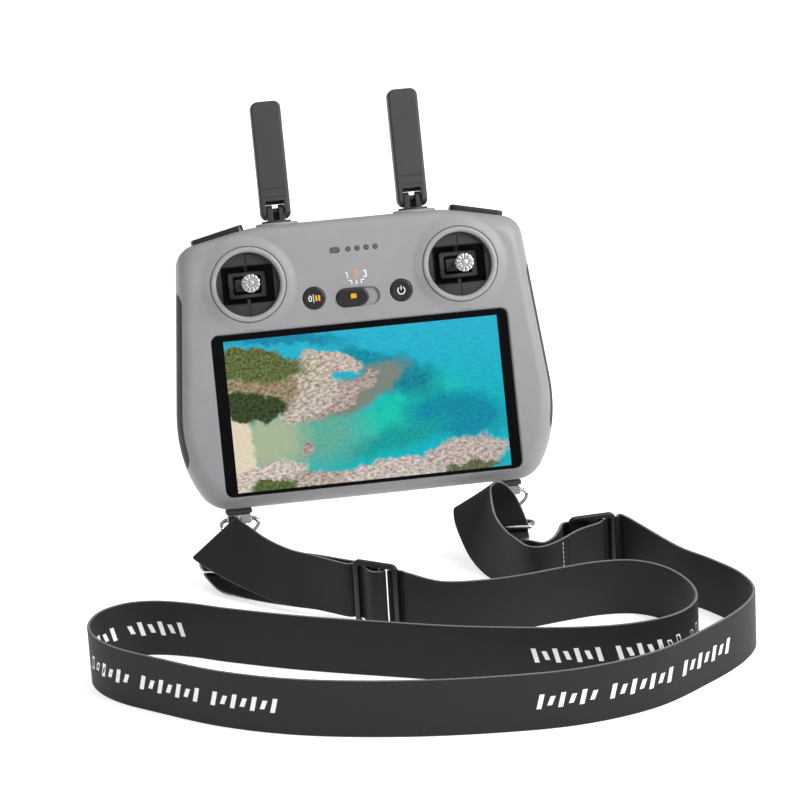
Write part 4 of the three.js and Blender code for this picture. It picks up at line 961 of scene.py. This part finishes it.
def makeDial(node, sign):
    x, y, z = dialSize["centre"]
    ribs, radius, width = 30, dialSize["radius"], dialSize["width"]
    rim = []
    for i in range(ribs * 6):
        turn = 2 * math.pi * i / (ribs * 6)
        r = radius - 0.28 * smoothStep(-0.3, 0.6, math.cos(ribs * turn))
        rim.append((sign * x + r * math.cos(turn), y + r * math.sin(turn)))
    wheel = makeObject(f"{node}_wheel", alongZ(slab(drawn(rim), softLayers(z - width / 2, z + width / 2, 0.5))))
    axle = slab(disc(sign * x, y, 1.05, 32), softLayers(z - width / 2 - 2.4, z + width / 2 + 2.4, 0.15))
    carve(wheel, [cutter(alongZ(axle))], "UNION")
    settle(wheel, finishes["buttonAbs"], node)


makeControls()
makeMarks()
print("controls made")


# ---------- antennas ----------
def makeAntenna(name, sign):
    cx, cy, pinZ = sign * antennaSize["x"], antennaSize["y"], antennaSize["pinZ"]
    low = caseSize["top"] + 0.2
    foot = makeObject(f"antenna_foot_{name}", alongZ(slab(disc(cx, cy, 6.6, 96, 4.6 / 6.6),
                                                          softLayers(low + 0.9, low + 1.8, 0.3))))
    spigot = alongZ(slab(disc(cx, cy, 3, 32), [(caseSize["top"] - 5, 0), (low + 1.2, 0)]))
    lugs = []
    for side in (-1, 1):
        outline = roundRect(cy, pinZ - 3.3, 5.4, 12, 2.7, 10)
        middle = cx + side * 2.55
        lug = remap(slab(outline, softLayers(middle - 1.25, middle + 1.25, 0.35)),
                    lambda deep, along, up: (along, deep, max(up, low + 1.2)))
        lugs.append(cutter(lug))
    # a thin web closes the fork behind its pin
    lugs.append(cutter(block(cx - 2, cx + 2, cy + 1.5, cy + 2.4, low + 1.3, pinZ + 1.2)))
    carve(foot, [cutter(spigot)] + lugs, "UNION")
    bore = alongX(slab(disc(cy, pinZ, 1.3, 32), [(cx - 10, 0), (cx + 10, 0)]))
    carve(foot, [cutter(bore)])
    settle(foot, finishes["antennaNylon"], f"antenna_base_{name}")

    heel, width, thick = pinZ - 4.1, antennaSize["width"], antennaSize["thick"]
    middle, tall = (heel + antennaSize["top"]) / 2, antennaSize["top"] - heel
    blade = makeObject(f"antenna_{name}_blade", slab(roundRect(cx, middle, width, tall, 3.2, 8),
                       softLayers(cy - thick / 2, cy + thick / 2, 1.1, 5)))
    # the fork's pocket is open in front; the back is closed above the swing of the fork
    window = slab(roundRect(cx, pinZ - 1.25, 8.4, 11.7, 0.6, 4), [(0, 0), (cy + 2.9, 0)])
    behind = block(cx - 4.2, cx + 4.2, cy, cy + 20, pinZ - 8, pinZ + 3.0)
    # the lower end is rounded about the pin
    rounding = cutter(remap(slab(disc(cy, pinZ, 12, 96), [(cx - 10, 0), (cx + 10, 0)]),
                            lambda deep, along, up: (along, deep, min(up, pinZ))))
    carve(rounding, [cutter(alongX(slab(disc(cy, pinZ, 4.1, 96), [(cx - 11, 0), (cx + 11, 0)])))])
    cuts = [window, behind, bore]
    for side in (-1, 1):
        face = cy + side * thick / 2
        for z in (pinZ + 9.75, pinZ + 6.1):
            groove = roundRect(cx, z, 10.8 if z > pinZ + 8 else 8.8, 0.5, 0.2, 2)
            cuts.append(slab(groove, [(face - 0.3, 0), (face + 0.3, 0)]))
    carve(blade, [cutter(shape) for shape in cuts] + [rounding])
    settle(blade, finishes["antennaNylon"], f"antenna_paddle_{name}")
    pin = alongX(slab(disc(cy, pinZ, 1.2, 32), softLayers(cx - 6, cx + 6, 0.2)))
    settle(makeObject(f"hinge_pin_{name}", pin), finishes["wellAbs"], f"antenna_pin_{name}")


for name, sign in sides:
    makeAntenna(name, sign)
print("antennas made")


# ---------- strap brackets and rings ----------
def makeBracket(name, sign):
    cx, cy, bottom = sign * bracketSize["x"], bracketSize["y"], caseSize["bottom"]
    tab = makeObject(f"tab_{name}", slab(roundRect(cx, bottom - 1.3, 11.4, 2.4, 0.6),
                                         softLayers(cy - 5, cy + 4, 0.3)))
    settle(tab, finishes["bracketAbs"], f"bracket_tab_{name}")
    top = bottom - 2.6
    lug = makeObject(f"lug_{name}", slab(roundRect(cx, top - 2.2, 10.8, 4.4, 1.0),
                                         softLayers(cy - 2.5, cy + 2.5, 0.5)))
    slot = block(cx - 0.9, cx + 0.9, cy - 4, cy + 4, top - 6, top - 1.2)
    bore = alongX(slab(disc(cy, top - 2.4, 1.35, 32), [(cx - 8, 0), (cx + 8, 0)]))
    carve(lug, [cutter(slot), cutter(bore)])
    settle(lug, finishes["chrome"], f"bracket_lug_{name}")
    outline = [(-5.8, 0), (-2, 0), (2, 0), (5.8, 0), (8, -1.4), (7.8, -3.8), (4.6, -6.6), (0, -7.8), (-4.6, -6.6),
               (-7.8, -3.8), (-8, -1.4)]
    path = curveThrough([Vector((cx + x, cy, bottom - 5.0 + z)) for x, z in outline], 132, loop=True)
    ring = makeObject(f"d_ring_{name}", wire(path, Vector((0, 1, 0)), bracketSize["wire"]))
    settle(ring, finishes["chrome"], f"strap_ring_{name}", angle=60)


for name, sign in sides:
    makeBracket(name, sign)

# ---------- clasps ----------
# Each clasp hangs from the bottom of a strap ring and points at the middle of its strap bar, mm.
claspPlaces = {
    "left": {"hook": (-61.4, -28.0, -57.3), "barMid": (-65.5, -37.6, -70.6), "barEnd": (-53.4, -38.6, -71.4)},
    "right": {"hook": (58.2, -28.0, -57.0), "barMid": (52.6, -45.6, -58.6), "barEnd": (64.8, -48.6, -57.6)},
}
claspWire = 1.1


def claspFrame(place):
    hook, middle = Vector(place["hook"]), Vector(place["barMid"])
    down = (middle - hook).normalized()
    across = Vector(place["barEnd"]) - middle
    across = (across - down * across.dot(down)).normalized()
    normal = down.cross(across).normalized()
    matrix = Matrix((across, normal, down)).transposed().to_4x4()
    matrix.translation = hook * mm
    return {"matrix": matrix, "reach": (middle - hook).length, "across": across, "down": down, "normal": normal,
            "middle": middle}


def makeClasp(name):
    hold = claspFrame(claspPlaces[name])
    matrix, reach = hold["matrix"], hold["reach"]
    sideways = lambda a, across, down: (across, a, down)
    bend = arc(0, 0, 4.1, 180, 360, 24)
    inner = arc(0, 0, 2.3, 360, 180, 24)
    outline = [(-2.6, 8.2), (-4.1, 6)] + bend + [(4.1, 0.6), (2.3, 0.6)] + inner
    outline += [(-2.3, 5), (4.1, 5), (4.1, 6), (2.6, 8.2)]
    hook = makeObject(f"hook_{name}", remap(slab(drawn(outline), softLayers(-1.5, 1.5, 0.55, 4)), sideways), matrix)
    bore = remap(slab(disc(0, 0, 1.35, 32), [(3, 0), (10, 0)]), lambda a, down, b: (a, b, down))
    carve(hook, [cutter(bore, matrix)])
    settle(hook, finishes["chrome"], f"clasp_hook_{name}", angle=45)
    gate = makeObject(f"gate_{name}", remap(slab(roundRect(3.2, 2.75, 1.3, 3.7, 0.6), softLayers(-1.2, 1.2, 0.3)),
                                            sideways), matrix)
    settle(gate, finishes["chrome"], f"clasp_gate_{name}")
    half = webbingLook["width"] / 2 + claspWire + 0.9
    rim = [(-3, 10), (3, 10), (8.5, 12.4), (half - 0.8, reach - 4.6), (half, reach - 2.4), (half - 1.4, reach),
           (half - 6, reach), (-half + 6, reach), (-half + 1.4, reach), (-half, reach - 2.4),
           (-half + 0.8, reach - 4.6), (-8.5, 12.4)]
    path = curveThrough([Vector((x, 0, z)) for x, z in rim], 168, loop=True)
    eye = makeObject(f"eye_{name}", wire(path, Vector((0, 1, 0)), claspWire), matrix)
    down = lambda a, z, b: (a, b, z)
    post = [(0, 3.5), (1.9, 3.5), (1.9, 4.5), (1.15, 4.7), (1.15, 8.6), (2.0, 8.6), (2.2, 8.8), (2.2, 9.4),
            (2.0, 9.6), (1.15, 9.8), (1.15, 10.2), (0, 10.2)]
    carve(eye, [cutter(remap(turned(post, 0, 0, 48), down), matrix)], "UNION")
    settle(eye, finishes["chrome"], f"clasp_eye_{name}", angle=60)


for name, _ in sides:
    makeClasp(name)
print("hardware made")

# ---------- neck strap ----------
ground = cadLow.z / mm
strapLevel = {"top": ground + webbingLook["width"] + 0.1, "low": ground + 0.1, "lifted": 2.4}
sliders = {"left": {"mid": (-9, -96.5), "angle": -34}, "right": {"mid": (89.6, -71.5), "angle": 4}}


def standing(x, y, lift=0.0):
    # a place where the webbing stands on its edge
    return Vector((x, y, strapLevel["top"] + lift)), Vector((x, y, strapLevel["low"] + lift))


def besideSlider(slider, s, off):
    angle = math.radians(slider["angle"])
    x, y = slider["mid"]
    return standing(x + math.cos(angle) * s - math.sin(angle) * off,
                    y + math.sin(angle) * s + math.cos(angle) * off, strapLevel["lifted"])


def weave(slider):
    # behind, in front of and behind the three bars
    stations = [(-15.5, 1.2), (-11.5, 2.3), (-8.2, 2.3), (-4.9, 0), (-1.6, -2.2), (1.6, -2.2), (4.9, 0), (8.2, 2.3),
                (11.5, 2.3), (15.5, 1.2)]
    return [besideSlider(slider, s, off) for s, off in stations]


def aroundBar(hold, start, end):
    radius = claspWire + 0.6 + webbingLook["thick"] / 2
    places = []
    for i in range(5):
        turn = math.radians(start + (end - start) * i / 4)
        centre = hold["middle"] + (hold["normal"] * math.cos(turn) + hold["down"] * math.sin(turn)) * radius
        half = hold["across"] * webbingLook["width"] / 2
        places.append((centre + half, centre - half))
    return places


def pair(upper, lower):
    return Vector(upper), Vector(lower)


def leftRoute():
    return weave(sliders["left"])[:7][::-1] + [
        pair((-33, -76, -48), (-33, -77.6, -73.4)), pair((-42.5, -68, -47.6), (-46.5, -70.6, -72.6)),
        pair((-51, -58.5, -46), (-59, -61, -69.6)), pair((-57, -51, -43.4), (-72, -52.4, -64.4)),
        pair((-61.4, -46, -41.2), (-82, -46.6, -58.4)), pair((-62, -42.6, -41.2), (-82.6, -43.4, -58.2)),
        pair((-60.4, -40, -44.6), (-81, -40.6, -60.8)), pair((-56.4, -40, -53), (-79.4, -40.4, -65)),
        pair((-53.6, -40.6, -63), (-78.2, -39.4, -66.6)),
        *aroundBar(claspFrame(claspPlaces["left"]), -70, -236),
        pair((-51, -45, -71.2), (-73.2, -45.4, -74)), pair((-47, -52.6, -63), (-66.4, -53, -74.2)),
        pair((-42, -61, -55), (-56, -61.6, -74.2)), pair((-36.4, -68.4, -50), (-43.4, -69.6, -74.2)),
        *[besideSlider(sliders["left"], s, 4.6) for s in (-15.5, -10, -4, 2)],
    ]


def rightRoute():
    start = [(94.5, -71.2, 2.4), (91.6, -73.7, 2.4), (87.6, -75.4, 2.4), (82, -78.2, 2.2), (77, -81.2, 1.4),
             (72, -83.9, 0.6), (67, -85.8, 0.1), (62.3, -86, 0), (58.2, -83, 0)]
    return [standing(*p) for p in start] + [
        pair((54.8, -77, -49.6), (53.4, -77, -74.9)), pair((51.8, -69, -49), (48.6, -69, -74.4)),
        pair((49, -59.6, -45.6), (43, -60, -73)), pair((48.8, -51.6, -40), (37.8, -51.6, -67.4)),
        pair((50, -46.8, -37), (33.6, -45.6, -56)), pair((53.6, -43.6, -36.8), (33.6, -40, -50)),
        pair((58, -42.2, -40.4), (36.4, -37.6, -51.8)), pair((62, -42.6, -47), (39, -38, -54.6)),
        *aroundBar(claspFrame(claspPlaces["right"]), -60, -172),
        pair((64.4, -55.6, -60), (42, -51, -66)), pair((61.6, -64, -57), (46.2, -58.6, -71)),
        pair((59.4, -73, -52.6), (52.4, -69.6, -74)), pair((61.4, -81, -49.8), (58.4, -78.6, -74.6)),
        standing(66.2, -82.6, 0.2), standing(70.6, -80.4, 0.8), standing(74, -75.6, 1.6),
        *[besideSlider(sliders["right"], s, 2.7) for s in (-12.4, -7, -1, 5.6)],
    ]


mainPath = [(17.5, -110.5), (35, -113.6), (52, -112.6), (69, -109.6), (86, -107.6), (101, -110.4), (112.5, -121),
            (118.6, -137), (118.4, -152), (112, -162.4), (100, -168.6), (81, -170.4), (55, -166.4), (18, -155.6),
            (-12, -143.6), (-45, -129.4), (-73, -115), (-90, -105), (-104.3, -99.2), (-117, -98.8), (-127.4, -104.6),
            (-132.6, -115.6), (-131, -128), (-123, -140.6), (-108, -153.8), (-83, -173), (-52, -188.4), (-13, -199.4),
            (26, -205.2), (60, -206), (91, -198.6), (116, -182.6), (134, -167), (143, -151.4), (141.4, -134),
            (132.4, -117), (121, -99.6)]


def mainRoute():
    ends = [besideSlider(slider, 5.4, 0.35) for slider in sliders.values()]
    loop = weave(sliders["left"])[7:] + [standing(*p) for p in mainPath] + weave(sliders["right"])[7:][::-1]
    return [ends[0], *loop, ends[1]]


def layBand(pairs, steps):
    # stations along the webbing: middle, direction across, outward direction, distance so far
    upper = curveThrough([p[0] for p in pairs], steps)
    lower = curveThrough([p[1] for p in pairs], steps)
    middle = [(a + b) / 2 for a, b in zip(upper, lower)]
    stations, distance = [], 0.0
    for i, centre in enumerate(middle):
        along = (middle[min(i + 1, steps)] - middle[max(i - 1, 0)]).normalized()
        across = (lower[i] - upper[i])
        width = across.length
        across.normalize()
        if i:
            distance += (centre - middle[i - 1]).length
        stations.append({"centre": centre, "across": across, "normal": across.cross(along).normalized(),
                         "width": width, "distance": distance})
    return stations


def onBand(stations, u, v, lift):
    # the place u mm along and v mm across from the middle, raised off the given face
    k = 0
    while k + 2 < len(stations) and stations[k + 1]["distance"] < u:
        k += 1
    a, b = stations[k], stations[k + 1]
    share = (u - a["distance"]) / max(1e-6, b["distance"] - a["distance"])
    centre = a["centre"].lerp(b["centre"], share)
    return centre + a["across"].lerp(b["across"], share) * v + a["normal"].lerp(b["normal"], share) * lift


def bandSection(width):
    # across the webbing: flat faces and round edges, thickest at the selvedge
    half, thick, edge = width / 2, webbingLook["thick"] / 2, webbingLook["edge"]
    spots = [(-half + edge + (width - 2 * edge) * i / 10, thick * 0.93) for i in range(11)]
    turns = [math.radians(90 - 180 * i / 8) for i in range(1, 8)]
    spots[0], spots[-1] = (spots[0][0], thick), (spots[-1][0], thick)
    spots += [(half - edge + edge * math.cos(t), thick * math.sin(t)) for t in turns]
    return spots + [(-v, -n) for v, n in spots]


def makeBand(name, node, pairs, steps):
    stations = layBand(pairs, steps)
    rings, sections = [], []
    for s in stations:
        section = bandSection(s["width"])
        sections.append([(s["distance"], v * webbingLook["width"] / s["width"]) for v, _ in section])
        rings.append([tuple(s["centre"] + s["across"] * v + s["normal"] * n) for v, n in section])
    verts, faces = skin(rings)
    mesh = bpy.data.meshes.new(name)
    mesh.from_pydata([Vector(v) * mm for v in verts], [], faces)
    flat = [spot for section in sections for spot in section]
    layer = mesh.uv_layers.new(name="lay")
    for loop in mesh.loops:
        u, v = flat[loop.vertex_index]
        layer.data[loop.index].uv = (u, v + webbingLook["width"] / 2)
    piece = bpy.data.objects.new(name, mesh)
    scene.collection.objects.link(piece)
    work = bmesh.new()
    work.from_mesh(mesh)
    bmesh.ops.recalc_face_normals(work, faces=work.faces)
    work.to_mesh(mesh)
    work.free()
    settle(piece, finishes["webbing"], node, angle=50)
    print(name, "length", round(stations[-1]["distance"], 1))
    return piece, stations


def nearest(stations, x, y):
    spot = Vector((x, y))
    return min(stations, key=lambda s: (s["centre"].xy - spot).length)["distance"]


printLook = {"bar": 2.0, "pitch": 4.4, "tall": 6.4, "lean": 1.6, "groups": (6, 7, 7), "space": 4.0, "lift": 0.03}


def makePrint(stations, start, face):
    # a woven run of leaning bars in three groups, long and short by turns
    shapes, u = [], start
    for group in printLook["groups"]:
        for i in range(group):
            tall = printLook["tall"] / 2 * (1 if i % 2 == 0 else 0.62)
            corners = [(u, tall), (u + printLook["bar"], tall), (u + printLook["bar"] + printLook["lean"], -tall),
                       (u + printLook["lean"], -tall)]
            off = webbingLook["thick"] / 2 * 0.93
            rings = [[tuple(onBand(stations, a, b, face * (off + lift))) for a, b in corners]
                     for lift in (-0.2, printLook["lift"])]
            shapes.append(skin(rings))
            u += printLook["pitch"]
        u += printLook["space"]
    return merged(*shapes)


def stitchRow(stations, u, v0, v1, face, count, lift, size):
    # short stitches lying across the webbing, each a small bent thread
    shapes = []
    for i in range(count):
        a = v0 + (v1 - v0) * (i + 0.15) / count
        b = v0 + (v1 - v0) * (i + 0.85) / count
        path = []
        for k in range(5):
            t = k / 4
            rise = lift + size * 0.9 * math.sin(math.pi * t) - size * 0.3
            path.append(onBand(stations, u, a + (b - a) * t, face * rise))
        shapes.append(wire(path, (path[-1] - path[0]).cross(stations[0]["across"].orthogonal()).normalized(), size,
                           8, loop=False))
    return merged(*shapes)


def makeSlider(name):
    slider = sliders[name]
    plate = makeObject(f"slider_{name}", slab(roundRect(0, 0, 21, 31, 3, 8), softLayers(-1.15, 1.15, 0.75, 4)),
                       Matrix.Translation(Vector((*slider["mid"], ground + 15.6)) * mm)
                       @ Matrix.Rotation(math.radians(slider["angle"]), 4, "Z"))
    windows = []
    for side in (-1, 1):
        outline = roundRect(side * 5, 0, 6.4, 26.4, 0.8)
        layers = [(-4, -3.3), (-0.7, 0), (0.7, 0), (4, -3.3)]
        windows.append(cutter(slab(outline, layers), plate.matrix_world.copy()))
    carve(plate, windows)
    settle(plate, finishes["sliderAcetal"], f"strap_slider_{name}")
    return plate


def makeStrap():
    makeSlider("left")
    makeSlider("right")
    webbing = {}
    for name, node, route, steps in (("webbing_main", "strap_main", mainRoute(), 900),
                                     ("webbing_left", "strap_end_left", leftRoute(), 320),
                                     ("webbing_right", "strap_end_right", rightRoute(), 320)):
        webbing[name] = makeBand(name, node, route, steps)
    band = webbing["webbing_main"][1]
    # where each run of bars starts, and on which face of the webbing
    prints = {"back": (118.5, -138, 1), "turn": (-92, -104.4, 1), "front": (40, -205.8, -1),
              "near": (-131, -124, -1)}
    marks = []
    for where, (x, y, face) in prints.items():
        marks.append(makeObject(f"woven_mark_{where}", makePrint(band, nearest(band, x, y), -face), asLaid))
        settle(marks[-1], finishes["whiteInk"], body="case")
    end = webbing["webbing_right"][1]
    seam = []
    # the near-black row at 20.2 mm is painted shade: dark stitches standing for the shaded channel of the seam; the
    # row at 23.6 mm is the white thread
    for where, thread in ((20.2, "sliderAcetal"), (23.6, "thread")):
        row = stitchRow(end, where, -11.4, 11.4, -1, 11, webbingLook["thick"] / 2, 0.17)
        seam.append(makeObject(f"seam_{thread}", row, asLaid))
        settle(seam[-1], finishes[thread], body="case")


makeStrap()
print("strap made")

# ---------- stage, light and camera ----------
stageLook = {"floor": "#f6f6f6", "size": 6.0, "world": 0.42, "key": 10.5, "fill": 0.8, "top": 7.0, "sheet": 0.6}


def makeStage():
    half = stageLook["size"] / 2
    mesh = bpy.data.meshes.new("floor")
    z = cadLow.z
    mesh.from_pydata([(-half, -half, z), (half, -half, z), (half, half, z), (-half, half, z)], [], [(0, 1, 2, 3)])
    floor = bpy.data.objects.new("floor", mesh)
    scene.collection.objects.link(floor)
    # opal acrylic sweep, lit from below so that shadows stay soft and pale
    material, tree, shader, place = newMaterial("opalAcrylic", Roughness=0.7, IOR=1.45, Emission_Color=(1, 1, 1, 1),
                                                Emission_Strength=stageLook["sheet"])
    mottled(tree, shader, place, stageLook["floor"], "#f2f2f2", 400)
    mesh.materials.append(material)
    world = bpy.data.worlds.new("studio")
    world.use_nodes = True
    world.node_tree.nodes["Background"].inputs["Color"].default_value = (1, 1, 1, 1)
    world.node_tree.nodes["Background"].inputs["Strength"].default_value = stageLook["world"]
    scene.world = world


def addLight(name, place, target, size, power):
    light = bpy.data.lights.new(name, "AREA")
    light.size = size
    light.energy = power
    lamp = bpy.data.objects.new(name, light)
    scene.collection.objects.link(lamp)
    lamp.location = place
    lamp.rotation_mode = "QUATERNION"
    lamp.rotation_quaternion = (Vector(target) - Vector(place)).to_track_quat("-Z", "Y")


def addCamera():
    azimuth, elevation, roll = (math.radians(a) for a in (-6.75, 22.0, 3.3))
    back = Vector((math.sin(azimuth) * math.cos(elevation), -math.cos(azimuth) * math.cos(elevation),
                   math.sin(elevation)))
    level = Vector((math.cos(azimuth), math.sin(azimuth), 0))
    rise = back.cross(level)
    right = level * math.cos(roll) - rise * math.sin(roll)
    up = level * math.sin(roll) + rise * math.cos(roll)
    camera = bpy.data.objects.new("camera", bpy.data.cameras.new("camera"))
    camera.data.lens = 163.6
    camera.data.sensor_width = 36
    matrix = Matrix((right, up, back)).transposed().to_4x4()
    matrix.translation = Vector((-0.159983, -1.497106, 0.597643))
    camera.matrix_world = matrix
    scene.collection.objects.link(camera)
    scene.camera = camera


makeStage()
middle = (cadLow + cadHigh) / 2
addLight("key", middle + Vector((0.66, -0.5, 0.62)), middle, 0.55, stageLook["key"])
addLight("fill", middle + Vector((-1.3, -1.1, 0.5)), middle, 1.2, stageLook["fill"])
addLight("top", middle + Vector((0.1, 0.5, 1.5)), middle, 1.0, stageLook["top"])
addCamera()
print("stage ready")
